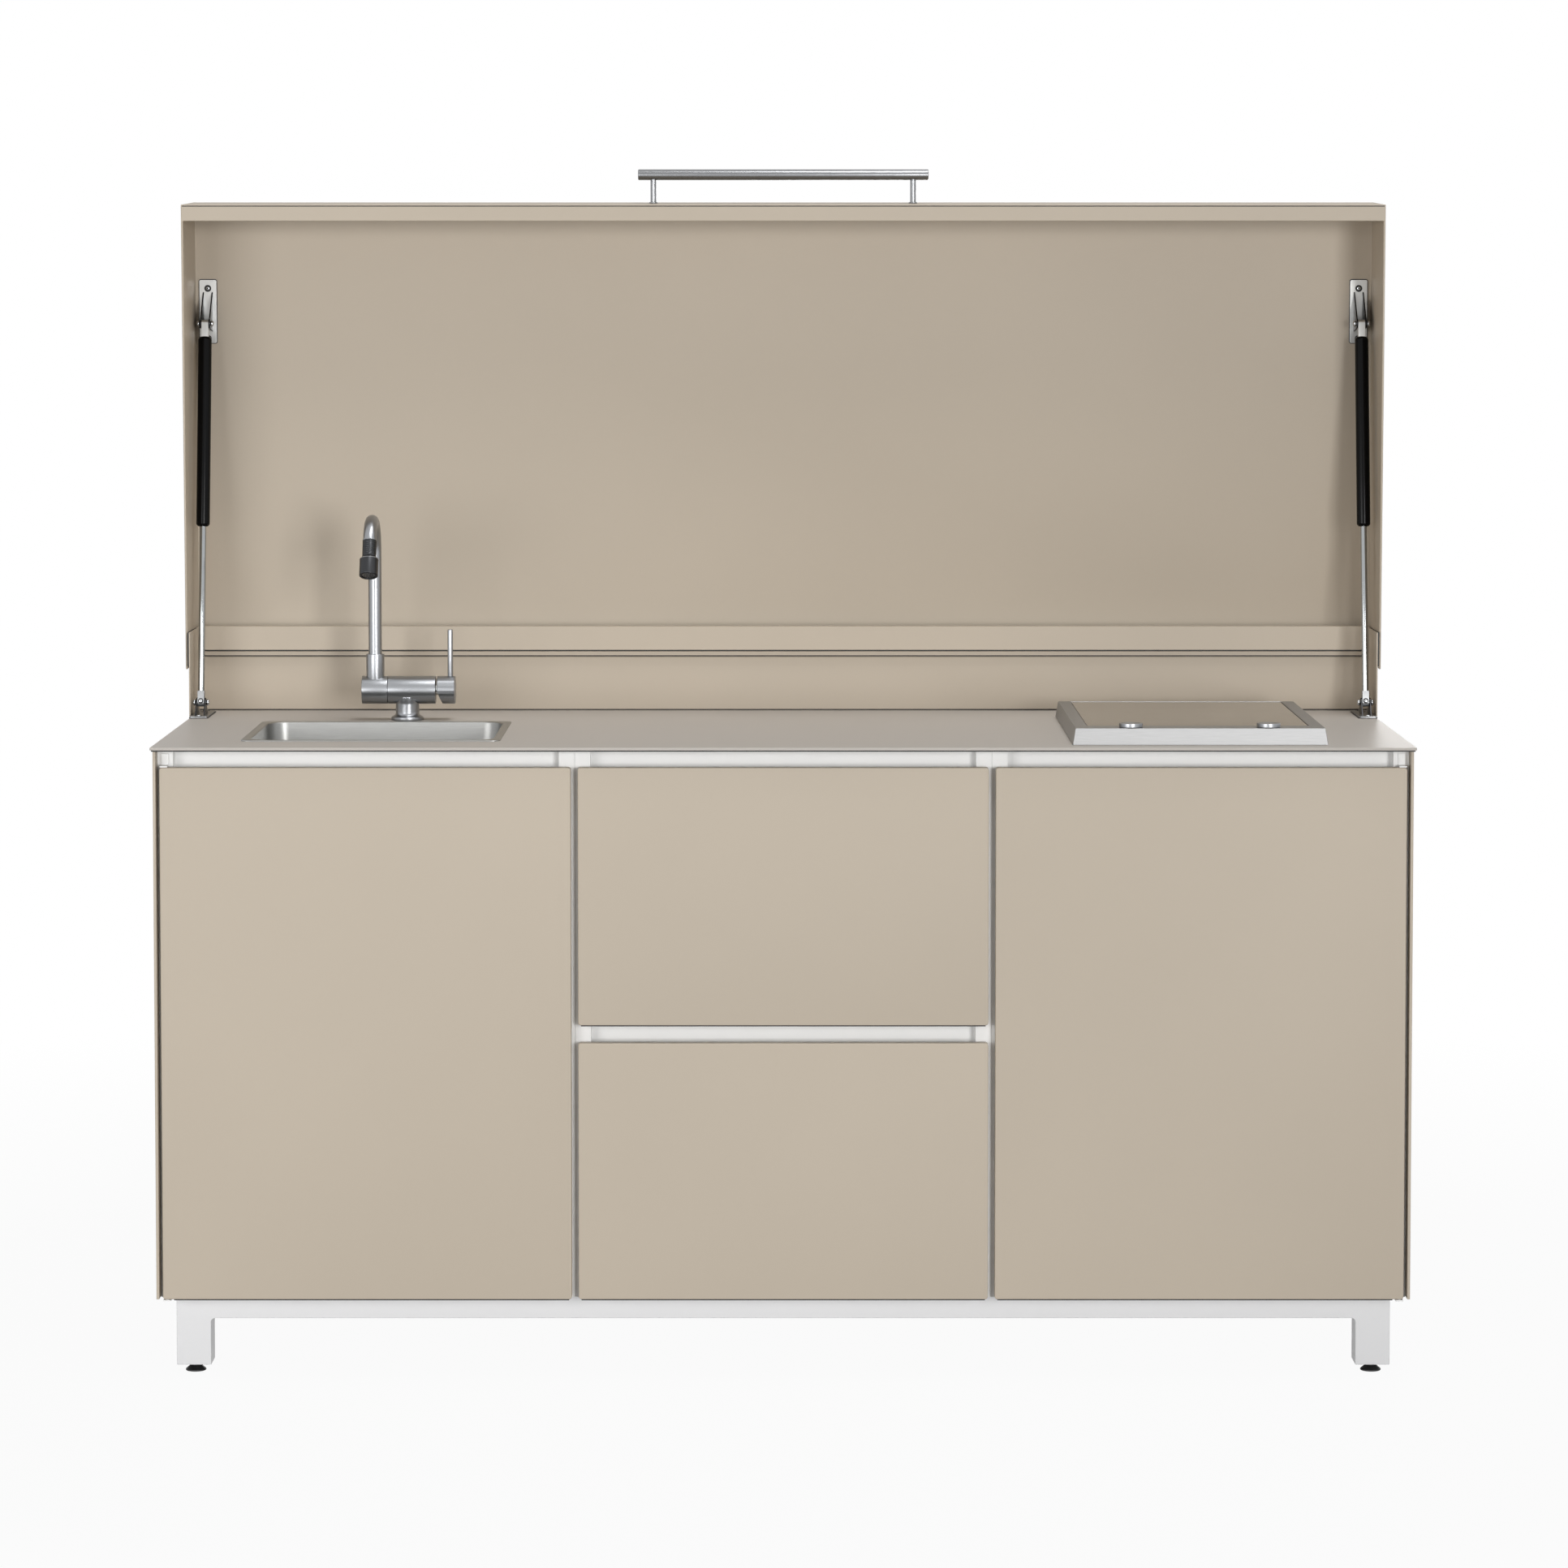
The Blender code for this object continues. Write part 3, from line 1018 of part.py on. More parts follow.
def build_lid(lid, taupe, steel):
    """Box lid folded from one sheet, modelled shut about its hinge axis, and its bar handle."""
    front = -LID_FRONT_REACH
    back = LID_BACK_REACH
    top = LID_ABOVE_AXIS
    low = top - LID_WALL
    sheet = LID_SHEET
    bm = bmesh.new()
    add_box(bm, (-LID_HALF, front, low), (LID_HALF, back, top))
    shell = make("lid_shell", bm, taupe, lid)
    hollow = [(back + CUT_OVERRUN, top - sheet), (front + sheet, top - sheet),
              (front + sheet, low + sheet),
              (front + LID_FLANGE, low + sheet), (front + LID_FLANGE, low - CUT_OVERRUN),
              (back + CUT_OVERRUN, low - CUT_OVERRUN)]
    bm = bmesh.new()
    add_prism(bm, hollow, "X", -LID_HALF + sheet, LID_HALF - sheet)
    combine(shell, make("lid_hollow", bm, taupe, lid), "DIFFERENCE")

    height = top - LID_WALL / 2
    bar_y = front - HANDLE_STANDOFF
    spot = (0, bar_y, height)
    handle = make("lid_handle", cylinder_x(-HANDLE_LENGTH / 2, HANDLE_LENGTH / 2, HANDLE_RADIUS,
                                           ROUND_MEDIUM,
                                           HANDLE_EDGE), steel, lid, spot, smooth=True)
    for side in (-1, 1):
        bm = bmesh.new()
        add_turned(bm, [(0, 0), (HANDLE_POST_RADIUS, 0), (HANDLE_POST_RADIUS,
                                                          HANDLE_STANDOFF - SEAT_GAP),
                        (0, HANDLE_STANDOFF - SEAT_GAP)], ROUND_SMALL, axis="Y")
        post = make(f"handle_post_{side}", bm, steel, lid, (side * HANDLE_POST_SPACING / 2, bar_y,
                                                            height),
                    smooth=True)
        combine(handle, post, "UNION")


def ear(outline, inner, parent, name, steel, spot, body):
    """Join a pair of thin ears with one side outline onto a bracket."""
    for side in (-1, 1):
        low, high = sorted((side * inner, side * (inner + EAR_THICK)))
        bm = bmesh.new()
        add_prism(bm, outline, "X", low, high)
        combine(body, make(f"{name}_ear_{side}", bm, steel, parent, spot), "UNION")


def domed_head(name, steel, parent, spot, start, side):
    """Round pin head that bulges away from an ear along X."""
    profile = [(0, 0), (PIN_HEAD_RADIUS, 0), (PIN_HEAD_RADIUS, PIN_HEAD_LENGTH / 3),
               (PIN_HEAD_RADIUS * 2 / 3, PIN_HEAD_LENGTH * 5 / 6), (0, PIN_HEAD_LENGTH)]
    profile = [(r, side * (start - WELD_LAP / 2 + h)) for r, h in profile]
    bm = bmesh.new()
    add_turned(bm, profile, ROUND_SMALL, axis="X")
    return make(name, bm, steel, parent, spot, smooth=True)


def build_struts(kit, lid, steel, black, zinc):
    """Two gas struts between brackets on the worktop and brackets inside the lid."""
    base_z = WORKTOP_TOP + STRUT_BASE_HEIGHT
    lean = Matrix.Rotation(-LID_OPEN, 3, "X")
    top_in_lid = Vector((0, -STRUT_TOP_REACH, -STRUT_TOP_DROP))
    top_point = lean @ top_in_lid + Vector((0, AXIS_Y, AXIS_Z))
    span = top_point - Vector((0, STRUT_BASE_Y, base_z))
    length = span.length
    tilt = -math.atan2(span.y, span.z)
    plate_top = SEAT_GAP + BASE_PLATE_THICK - STRUT_BASE_HEIGHT
    for label, side in (("left", -1), ("right", 1)):
        base = (side * STRUT_X, STRUT_BASE_Y, base_z)
        bm = bmesh.new()
        add_box(bm, (-BASE_PLATE_WIDTH / 2, -BASE_PLATE_FRONT, plate_top - BASE_PLATE_THICK),
                (BASE_PLATE_WIDTH / 2, BASE_PLATE_BACK, plate_top))
        bracket = make(f"strut_base_bracket_{label}", bm, zinc, kit, base)
        inner = ROD_BLOCK_WIDTH / 2 + SEAT_GAP
        outline = [(-BASE_EAR_LENGTH / 2, plate_top - WELD_LAP),
                   (BASE_EAR_LENGTH / 2, plate_top - WELD_LAP)]
        outline += arc((0, 0), EAR_NOSE, math.radians(20), math.radians(160), 4)
        ear(outline, inner, kit, f"base_{label}", zinc, base, bracket)
        pin = cylinder_x(-inner - WELD_LAP, inner + WELD_LAP, PIN_RADIUS, ROUND_SMALL)
        combine(bracket, make(f"base_pin_{label}", pin, zinc, kit, base, smooth=True), "UNION")
        for end in (-1, 1):
            combine(bracket, domed_head(f"base_head_{label}_{end}", zinc, kit, base, inner + EAR_THICK,
                                        end), "UNION")

        strut = empty(f"strut_{label}", kit, base, tilt)
        block = ROD_BLOCK_WIDTH / 2
        outline = arc((0, 0), ROD_BLOCK_RADIUS, math.pi, 2 * math.pi, 6)
        outline = [(-ROD_BLOCK_RADIUS, ROD_BLOCK_TOP), *outline, (ROD_BLOCK_RADIUS, ROD_BLOCK_TOP)]
        bm = bmesh.new()
        add_prism(bm, outline, "X", -block, block)
        rod = make(f"strut_rod_{label}", bm, steel, strut)
        cylinder_bottom = length - CYLINDER_EYE_LENGTH - CYLINDER_LENGTH
        bm = bmesh.new()
        add_turned(bm, [(0, ROD_BLOCK_TOP - WELD_LAP), (ROD_RADIUS, ROD_BLOCK_TOP - WELD_LAP),
                        (ROD_RADIUS, cylinder_bottom + ROD_ENGAGE), (0, cylinder_bottom + ROD_ENGAGE)],
                        ROUND_SMALL)
        combine(rod, make(f"rod_bar_{label}", bm, steel, strut, smooth=True), "UNION")
        eye = cylinder_x(-block - CUT_OVERRUN, block + CUT_OVERRUN, PIN_RADIUS + SEAT_GAP, ROUND_SMALL)
        combine(rod, make(f"rod_eye_{label}", eye, steel, strut), "DIFFERENCE")

        cylinder_top = length - CYLINDER_EYE_LENGTH
        bore = ROD_RADIUS + SEAT_GAP
        bore_top = cylinder_top - 2 * CYLINDER_RADIUS
        bm = bmesh.new()
        add_turned(bm, [(bore, cylinder_bottom), (CYLINDER_RADIUS - CYLINDER_EDGE, cylinder_bottom),
                        (CYLINDER_RADIUS, cylinder_bottom + CYLINDER_EDGE),
                        (CYLINDER_RADIUS, cylinder_top - CYLINDER_EDGE),
                        (CYLINDER_RADIUS - CYLINDER_EDGE, cylinder_top), (0, cylinder_top)],
                        ROUND_MEDIUM)
        edge = [v for v in bm.verts
                if abs(v.co.z - cylinder_bottom) < WELD_LAP and v.co.xy.length < bore + WELD_LAP]
        edge.sort(key=lambda v: math.atan2(v.co.y, v.co.x))
        inner_ring = [bm.verts.new((v.co.x, v.co.y, bore_top)) for v in edge]
        bridge(bm, edge, inner_ring)
        bm.faces.new(inner_ring)
        cylinder = make(f"strut_cylinder_{label}", bm, black, strut, smooth=True)
        half = CYLINDER_EYE_WIDTH / 2
        outline = [(-CYLINDER_EYE_RADIUS, cylinder_top - WELD_LAP),
                   (CYLINDER_EYE_RADIUS, cylinder_top - WELD_LAP)]
        outline += arc((0, length), CYLINDER_EYE_RADIUS, 0, math.pi, 6)
        bm = bmesh.new()
        add_prism(bm, outline, "X", -half, half)
        combine(cylinder, make(f"cylinder_eye_{label}", bm, steel, strut), "UNION")

        spot = (side * STRUT_X, top_in_lid.y, top_in_lid.z)
        under = LID_UNDER - SEAT_GAP + STRUT_TOP_DROP
        bm = bmesh.new()
        add_box(bm, (-LID_PLATE_WIDTH / 2, -LID_PLATE_UP, under - LID_PLATE_THICK),
                (LID_PLATE_WIDTH / 2, LID_PLATE_DOWN, under))
        bracket = make(f"strut_lid_bracket_{label}", bm, zinc, lid, spot)
        inner = half + SEAT_GAP
        foot = under - LID_PLATE_THICK + WELD_LAP
        outline = [(-LID_EAR_UP, foot), *arc((0, 0), EAR_NOSE, math.radians(210), math.radians(350), 4),
                   (LID_EAR_DOWN, foot)]
        ear(outline, inner, lid, f"lid_{label}", zinc, spot, bracket)
        for end in (-1, 1):
            combine(bracket, domed_head(f"lid_head_{label}_{end}", zinc, lid, spot, inner + EAR_THICK,
                                        end), "UNION")


def front_panel(name, low_x, high_x, low_z, high_z, kit, taupe, origin):
    """Folded cassette front: face, returns and an inward back flange round an open pocket."""
    ox, oy = origin[0], origin[1]
    face, back = FRONT_SETBACK - oy, FRONT_BACK - oy
    sheet = FRONT_SHEET

    def ring(inset, y):
        radius = max(FRONT_CORNER - inset, FRONT_CORNER / 4)
        outline = rounded(low_x - ox + inset, high_x - ox - inset, low_z + inset, high_z - inset, radius)
        return [Vector((x, y, z)) for x, z in outline]

    bm = bmesh.new()
    add_loft(bm, [ring(FRONT_EDGE, face), ring(0, face + FRONT_EDGE), ring(0, back),
                  ring(FRONT_FLANGE, back),
                  ring(FRONT_FLANGE, back - sheet), ring(sheet, back - sheet),
                  ring(sheet, face + sheet)])
    return make(name, bm, taupe, kit, (ox, oy, 0))


def build_doors(kit, taupe, white):
    """Two full-height doors on pivot pins near their outer front edges."""
    axis_y = FRONT_SETBACK + DOOR_AXIS_INSET
    for label, side in (("left", -1), ("right", 1)):
        outer = side * (CARCASS_HALF - FRONT_MARGIN)
        inner = outer - side * FRONT_WIDTH
        axis_x = outer - side * DOOR_AXIS_INSET
        low_x, high_x = sorted((outer, inner))
        door = front_panel(f"door_{label}", low_x, high_x, FRONT_BOTTOM, FRONT_TOP, kit, taupe,
                           (axis_x, axis_y))
        hole = PIVOT_RADIUS + PIVOT_GAP
        for end, z in (("top", FRONT_TOP), ("bottom", FRONT_BOTTOM)):
            bm = bmesh.new()
            low, high = z - 2 * FRONT_SHEET, z + 2 * FRONT_SHEET
            add_turned(bm, [(0, low), (hole, low), (hole, high), (0, high)], ROUND_SMALL)
            combine(door, make(f"door_hole_{label}_{end}", bm, taupe, kit, (axis_x, axis_y, 0)),
                    "DIFFERENCE")
        wide = PIVOT_WIDTH / 2
        fore = -wide
        arm_low = FRONT_TOP + RUN_GAP
        post = POST_FRONT - axis_y - SEAT_GAP
        outline = [(fore, arm_low), (post, arm_low), (post, arm_low + PIVOT_LEG),
                   (post - PIVOT_PLATE, arm_low + PIVOT_LEG),
                   (post - PIVOT_PLATE, arm_low + PIVOT_PLATE),
                   (fore, arm_low + PIVOT_PLATE)]
        bm = bmesh.new()
        add_prism(bm, outline, "X", -wide, wide)
        arm = make(f"door_pivot_top_{label}", bm, white, kit, (axis_x, axis_y, 0))
        bm = bmesh.new()
        low, high = FRONT_TOP - PIVOT_ENGAGE, arm_low + WELD_LAP
        add_turned(bm, [(0, low), (PIVOT_RADIUS, low), (PIVOT_RADIUS, high), (0, high)], ROUND_SMALL)
        combine(arm, make(f"pivot_pin_top_{label}", bm, white, kit, (axis_x, axis_y, 0), smooth=True),
                "UNION")
        plate_top = CARCASS_BOTTOM - SEAT_GAP
        bm = bmesh.new()
        add_box(bm, (-wide, fore, plate_top - PIVOT_PLATE), (wide, post + PIVOT_FOOT_BACK, plate_top))
        arm = make(f"door_pivot_bottom_{label}", bm, white, kit, (axis_x, axis_y, 0))
        bm = bmesh.new()
        low, high = plate_top - WELD_LAP, FRONT_BOTTOM + PIVOT_ENGAGE
        add_turned(bm, [(0, low), (PIVOT_RADIUS, low), (PIVOT_RADIUS, high), (0, high)], ROUND_SMALL)
        combine(arm, make(f"pivot_pin_bottom_{label}", bm, white, kit, (axis_x, axis_y, 0), smooth=True),
                "UNION")


def build_drawers(kit, taupe, white, zinc):
    """Two drawers: cassette front, sheet box with side ribs, and channel runners fixed to the posts."""
    half_front = FRONT_WIDTH / 2
    for label, level in (("upper", 1), ("lower", 0)):
        bottom = FRONT_BOTTOM + level * (DRAWER_FRONT_HEIGHT + DRAWER_GAP)
        front_panel(f"drawer_front_{label}", -half_front, half_front, bottom,
                    bottom + DRAWER_FRONT_HEIGHT, kit, taupe,
                    (0, 0))
        start = FRONT_BACK + SEAT_GAP
        end = start + DRAWER_LENGTH
        low = bottom + DRAWER_RISE
        high = low + DRAWER_HEIGHT
        sheet = DRAWER_SHEET
        bm = bmesh.new()
        add_box(bm, (-DRAWER_HALF, start, low), (DRAWER_HALF, end, high))
        box = make(f"drawer_box_{label}", bm, white, kit)
        bm = bmesh.new()
        add_box(bm, (-DRAWER_HALF + sheet, start + sheet, low + sheet),
                (DRAWER_HALF - sheet, end - sheet, high + CUT_OVERRUN))
        combine(box, make(f"drawer_hollow_{label}", bm, white, kit), "DIFFERENCE")
        rail_mid = low + RUNNER_FROM_BOTTOM
        run_start = POST_FRONT + RUNNER_START
        for name, side in (("left", -1), ("right", 1)):
            bm = bmesh.new()
            inner, outer = DRAWER_HALF - sheet / 2, DRAWER_HALF + RIB_REACH
            left, right = sorted((side * inner, side * outer))
            add_box(bm, (left, run_start + RUNNER_START, rail_mid - RIB_HEIGHT / 2),
                    (right, end - RUNNER_START, rail_mid + RIB_HEIGHT / 2))
            combine(box, make(f"rib_{label}_{name}", bm, white, kit), "UNION")
            back = POST_INNER - SEAT_GAP
            mouth = back - RUNNER_DEPTH
            skin = RUNNER_SHEET
            high_z = rail_mid + RUNNER_HEIGHT / 2
            low_z = rail_mid - RUNNER_HEIGHT / 2
            outline = [(side * mouth, high_z), (side * back, high_z), (side * back, low_z),
                       (side * mouth, low_z),
                       (side * mouth, low_z + skin), (side * (back - skin), low_z + skin),
                       (side * (back - skin), high_z - skin), (side * mouth, high_z - skin)]
            bm = bmesh.new()
            add_prism(bm, outline, "Y", run_start, end)
            runner = make(f"drawer_runner_{label}_{name}", bm, zinc, kit)
            wall = MODULE_WIDTH / 2 - MODULE_SEAM / 2 - CARCASS_SHEET - SEAT_GAP
            left, right = sorted((side * (back - WELD_LAP), side * wall))
            bm = bmesh.new()
            add_box(bm, (left, end - RUNNER_FOOT, low_z), (right, end, high_z))
            combine(runner, make(f"runner_foot_{label}_{name}", bm, zinc, kit), "UNION")


def build():
    """Build every sub-assembly under one centring empty."""
    clear_scene()
    taupe = finish("taupe_powder_coat", "C2B7A6", 0.55)
    white = finish("white_powder_coat", "E2E2E0", 0.50)
    stone = finish("worktop_coat", "ABA69E", 0.35)
    steel = finish("brushed_stainless", "A9A9A6", 0.30, 1.0)
    zinc = finish("zinc_plated_steel", "C4C4C2", 0.35, 1.0)
    black = finish("black_moulded", "141414", 0.45)
    tube = finish("black_cylinder", "181819", 0.30)
    brass = finish("brass_cartridge", "B08D57", 0.35, 1.0)
    plate = finish("polished_fry_plate", "958A76", 0.12, 1.0)
    dark = finish("galvanised_housing", "8C8F90", 0.45, 1.0)

    kit = empty("kitchen", location=(0, -UNIT_DEPTH / 2, 0))
    build_base(kit, white, black)
    for i, name in enumerate(("carcass_left", "carcass_centre", "carcass_right")):
        build_carcass(kit, white, name, (i - (MODULE_COUNT - 1) / 2) * MODULE_WIDTH,
                      name == "carcass_centre")
    build_cladding(kit, taupe)
    build_worktop(kit, stone)
    build_sink(kit, steel, black)
    build_tap(kit, steel, brass)
    build_hob(kit, steel, plate, dark)
    build_upstand(kit, taupe)
    lid = empty("lid_axis", kit, (0, AXIS_Y, AXIS_Z), -LID_OPEN)
    build_lid(lid, taupe, steel)
    build_hinge(kit, lid, steel)
    build_struts(kit, lid, steel, tube, zinc)
    build_doors(kit, taupe, white)
    build_drawers(kit, taupe, white, zinc)


build()
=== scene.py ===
"""Looks for an outdoor kitchen unit, dressed over its packed metal frame.

Every length is in metres and every place is in the frame's own axes: +X to the right along
the worktop, +Y to the back and +Z up. Each sub-assembly is a class with its sizes as fields.
Tables of a profile's corners have names that end in _mm and are in millimetres.
"""

from __future__ import annotations

import logging
import math
from dataclasses import dataclass
from enum import Enum
from functools import reduce
from typing import ClassVar, Iterable, Sequence

import bmesh
import bpy
import numpy as np
from mathutils import Matrix, Vector

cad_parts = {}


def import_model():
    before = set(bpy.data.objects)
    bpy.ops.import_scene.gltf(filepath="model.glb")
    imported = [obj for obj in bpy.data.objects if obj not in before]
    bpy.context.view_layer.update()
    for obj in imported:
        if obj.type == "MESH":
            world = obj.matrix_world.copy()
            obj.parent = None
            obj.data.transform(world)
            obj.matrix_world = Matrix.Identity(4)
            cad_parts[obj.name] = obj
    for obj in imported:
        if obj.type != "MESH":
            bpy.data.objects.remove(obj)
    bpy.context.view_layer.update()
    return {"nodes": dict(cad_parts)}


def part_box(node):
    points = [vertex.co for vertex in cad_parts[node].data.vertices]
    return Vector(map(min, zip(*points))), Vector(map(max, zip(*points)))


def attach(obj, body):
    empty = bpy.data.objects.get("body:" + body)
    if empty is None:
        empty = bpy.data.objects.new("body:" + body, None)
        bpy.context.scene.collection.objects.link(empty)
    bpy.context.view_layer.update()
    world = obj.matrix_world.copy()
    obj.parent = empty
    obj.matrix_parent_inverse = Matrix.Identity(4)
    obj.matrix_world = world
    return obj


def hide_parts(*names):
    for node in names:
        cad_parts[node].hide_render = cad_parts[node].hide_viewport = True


LOG = logging.getLogger("outdoor_kitchen")

MM = 0.001
DEPTH_SHIFT = 0.3431737
AXIS_Y = 0.6486 - DEPTH_SHIFT
AXIS_Z = 1.048
LID_ANGLE = math.radians(-88.0)
WORKTOP_TOP = 0.920
SEAT_GAP = 0.3 * MM

Profile = Sequence[tuple[float, float]]


class Axis(Enum):
    """Direction of a turned piece, or of the brush marks on a metal."""

    X = 0
    Y = 1
    Z = 2


# Colour and node helpers


def shade(code: str, share: float = 1.0, lift: float = 0.0) -> tuple[float, float, float, float]:
    """Turn an sRGB hex colour into linear RGBA, and make it darker or lighter.

    Args:
        code: Six hex digits.
        share: Factor on each linear channel.
        lift: Amount then added to each.

    Returns:
        Linear red, green and blue, at most 1 each, and an alpha of 1.
    """
    channels = [int(code[i:i + 2], 16) / 255.0 for i in (0, 2, 4)]
    linear = [c / 12.92 if c <= 0.04045 else ((c + 0.055) / 1.055) ** 2.4 for c in channels]
    red, green, blue = (min(1.0, c * share + lift) for c in linear)
    return (red, green, blue, 1.0)


def add_node(tree: bpy.types.NodeTree, kind: str, links: dict | None = None, **settings) -> bpy.types.Node:
    """Add one shader node with its settings and incoming links.

    Args:
        tree: Node tree that takes the node.
        kind: Blender's name for the node type, without its prefix.
        links: Input name or number to the output socket that feeds it.
        settings: Values by property name, by input name with spaces as underscores, or by
            input number after the letters in.

    Returns:
        The new node.
    """
    node = tree.nodes.new("ShaderNode" + kind)
    for name, value in settings.items():
        socket = node.inputs.get(name.replace("_", " "))
        if socket is None and name.startswith("in") and name[2:].isdigit():
            node.inputs[int(name[2:])].default_value = value
        elif socket is not None and not hasattr(node, name):
            socket.default_value = value
        else:
            setattr(node, name, value)
    for name, source in (links or {}).items():
        tree.links.new(source, node.inputs[name])
    return node


class Coat:
    """One material while it is put together, from a Principled shader and object coordinates."""

    def __init__(self, name: str, metallic: float = 0.0) -> None:
        """Start the material.

        Args:
            name: Material name.
            metallic: 1 for bare metal.
        """
        self.material = bpy.data.materials.new(name)
        self.material.use_nodes = True
        self.tree = self.material.node_tree
        self.shader = self.tree.nodes["Principled BSDF"]
        self.shader.inputs["Metallic"].default_value = metallic
        self.place = add_node(self.tree, "TexCoord").outputs["Object"]

    def pattern(self, scale: float, kind: str = "TexNoise", out: str = "Fac",
                **settings) -> bpy.types.NodeSocket:
        """Output of a new pattern that repeats scale times in a metre."""
        return add_node(self.tree, kind, {"Vector": self.place}, Scale=scale, **settings).outputs[out]

    def feed(self, name: str, source: bpy.types.NodeSocket) -> None:
        """Link an output to one of the shader's inputs."""
        self.tree.links.new(source, self.shader.inputs[name])

    def tone(self, source: bpy.types.NodeSocket, colours: Sequence[tuple],
             ends: tuple[float, float] = (0, 1)) -> None:
        """Let a pattern move the colour between two shades.

        Args:
            source: The pattern.
            colours: Shade at its low and at its high end.
            ends: Values of the pattern at which the two are reached.
        """
        ramp = add_node(self.tree, "ValToRGB", {"Fac": source})
        for stop, colour, end in zip(ramp.color_ramp.elements, colours, ends):
            stop.position = end
            stop.color = colour
        self.feed("Base Color", ramp.outputs["Color"])

    def rough(self, source: bpy.types.NodeSocket, low: float, high: float) -> None:
        """Let a pattern move the roughness between two values."""
        spread = add_node(self.tree, "MapRange", {"Value": source}, in3=low, in4=high)
        self.feed("Roughness", spread.outputs["Result"])

    def bump(self, source: bpy.types.NodeSocket, strength: float, height_mm: float) -> None:
        """Let a pattern raise the surface by up to a height in mm."""
        node = add_node(self.tree, "Bump", {"Height": source}, Strength=strength, Distance=height_mm * MM)
        self.feed("Normal", node.outputs["Normal"])


# Finishes


@dataclass(frozen=True)
class Finish:
    """What each finish has: a name, an sRGB colour and a middle roughness."""

    name: str
    colour: str
    roughness: float
    metallic: ClassVar[float] = 0.0

    def make(self) -> bpy.types.Material:
        """Build the material."""
        coat = Coat(self.name, self.metallic)
        self.paint(coat)
        return coat.material

    def paint(self, coat: Coat) -> None:
        """Add the finish's own patterns to the material."""
        raise NotImplementedError


@dataclass(frozen=True)
class PowderCoat(Finish):
    """Baked polyester powder on folded steel sheet.

    The eye sees an even colour with a soft sheen, fine orange peel in the highlights and a
    faint unevenness where the powder lay thicker.
    """

    grain_mm: float = 1.6
    peel: float = 0.05
    drift: float = 0.05
    gloss: float = 0.5
    cloud_mm: float = 1000.0 / 2.2
    speck: float = 1.035

    def paint(self, coat: Coat) -> None:
        """Let clouds drift the colour, and a grain speck it and raise the peel."""
        coat.shader.inputs["Specular IOR Level"].default_value = self.gloss
        cloud = coat.pattern(1000.0 / self.cloud_mm, Detail=2.0, Roughness=0.5)
        mix = add_node(coat.tree, "Mix", {"Factor": cloud}, data_type="RGBA")
        mix.inputs[6].default_value = shade(self.colour, 1.0 - self.drift)
        mix.inputs[7].default_value = shade(self.colour, 1.0 + self.drift)
        grain = coat.pattern(1000.0 / self.grain_mm, Detail=3.0, Roughness=0.6)
        bright = add_node(coat.tree, "HueSaturation", {"Color": mix.outputs[2]}, Value=self.speck)
        speck = add_node(coat.tree, "Mix", {"Factor": grain, 6: mix.outputs[2], 7: bright.outputs["Color"]},
                         data_type="RGBA")
        coat.feed("Base Color", speck.outputs[2])
        coat.rough(grain, self.roughness - 0.05, self.roughness + 0.06)
        coat.bump(grain, self.peel, 0.4)


@dataclass(frozen=True)
class BrushedSteel(Finish):
    """Stainless steel with a belt-brushed finish.

    The eye sees long fine lines one way, a highlight drawn out across them and a few deeper
    marks. The lines are drawn near 0.5 mm apart, coarser than the real 0.1 mm, to show.
    """

    metallic: ClassVar[float] = 1.0
    along: Axis = Axis.X
    line_mm: float = 0.5
    depth: float = 0.12
    stretch: float = 60.0

    def paint(self, coat: Coat) -> None:
        """Let noise stretched along the marks move the bump, roughness and tone."""
        fine = 1000.0 / self.line_mm
        scales = [fine / self.stretch if axis is self.along else fine for axis in Axis]
        mapped = add_node(coat.tree, "Mapping", {"Vector": coat.place}, Scale=scales)
        coat.place = mapped.outputs["Vector"]
        lines = coat.pattern(1.0, Detail=3.0, Roughness=0.65)
        coat.tone(lines, (shade(self.colour, 0.86), shade(self.colour, 1.10)), (0.25, 0.75))
        coat.rough(lines, self.roughness - 0.07, self.roughness + 0.09)
        coat.bump(lines, self.depth, 0.2)


@dataclass(frozen=True)
class PolishedMetal(Finish):
    """Metal ground and buffed bright: the fry plate, strut rods and plated brackets.

    The eye sees clear reflections, slightly clouded by wiping marks and fine scratches.
    """

    metallic: ClassVar[float] = 1.0
    cloud_mm: float = 60.0
    cloud: float = 0.05
    scratch_mm: float = 1000.0 / 900.0

    def paint(self, coat: Coat) -> None:
        """Let clouds move the roughness and tone, and raise thin crossing scratches."""
        smear = coat.pattern(1000.0 / self.cloud_mm, Detail=4.0, Roughness=0.6, Distortion=0.8)
        scratch = coat.pattern(1000.0 / self.scratch_mm, Detail=2.0)
        coat.rough(smear, max(0.02, self.roughness - self.cloud), self.roughness + self.cloud)
        coat.tone(smear, (shade(self.colour, 0.95), shade(self.colour, 1.05)))
        coat.bump(scratch, 0.03, 0.1)


@dataclass(frozen=True)
class GlossEnamel(Finish):
    """Black stoving enamel on a drawn tube.

    The eye sees a deep black, dulled here and there by handling.
    """

    gloss: float = 0.12
    smear_mm: float = 25.0

    def paint(self, coat: Coat) -> None:
        """Let smears move the roughness."""
        coat.shader.inputs["Base Color"].default_value = shade(self.colour)
        coat.shader.inputs["Specular IOR Level"].default_value = self.gloss
        smear = coat.pattern(1000.0 / self.smear_mm, Detail=3.0)
        coat.rough(smear, self.roughness - 0.05, self.roughness + 0.07)


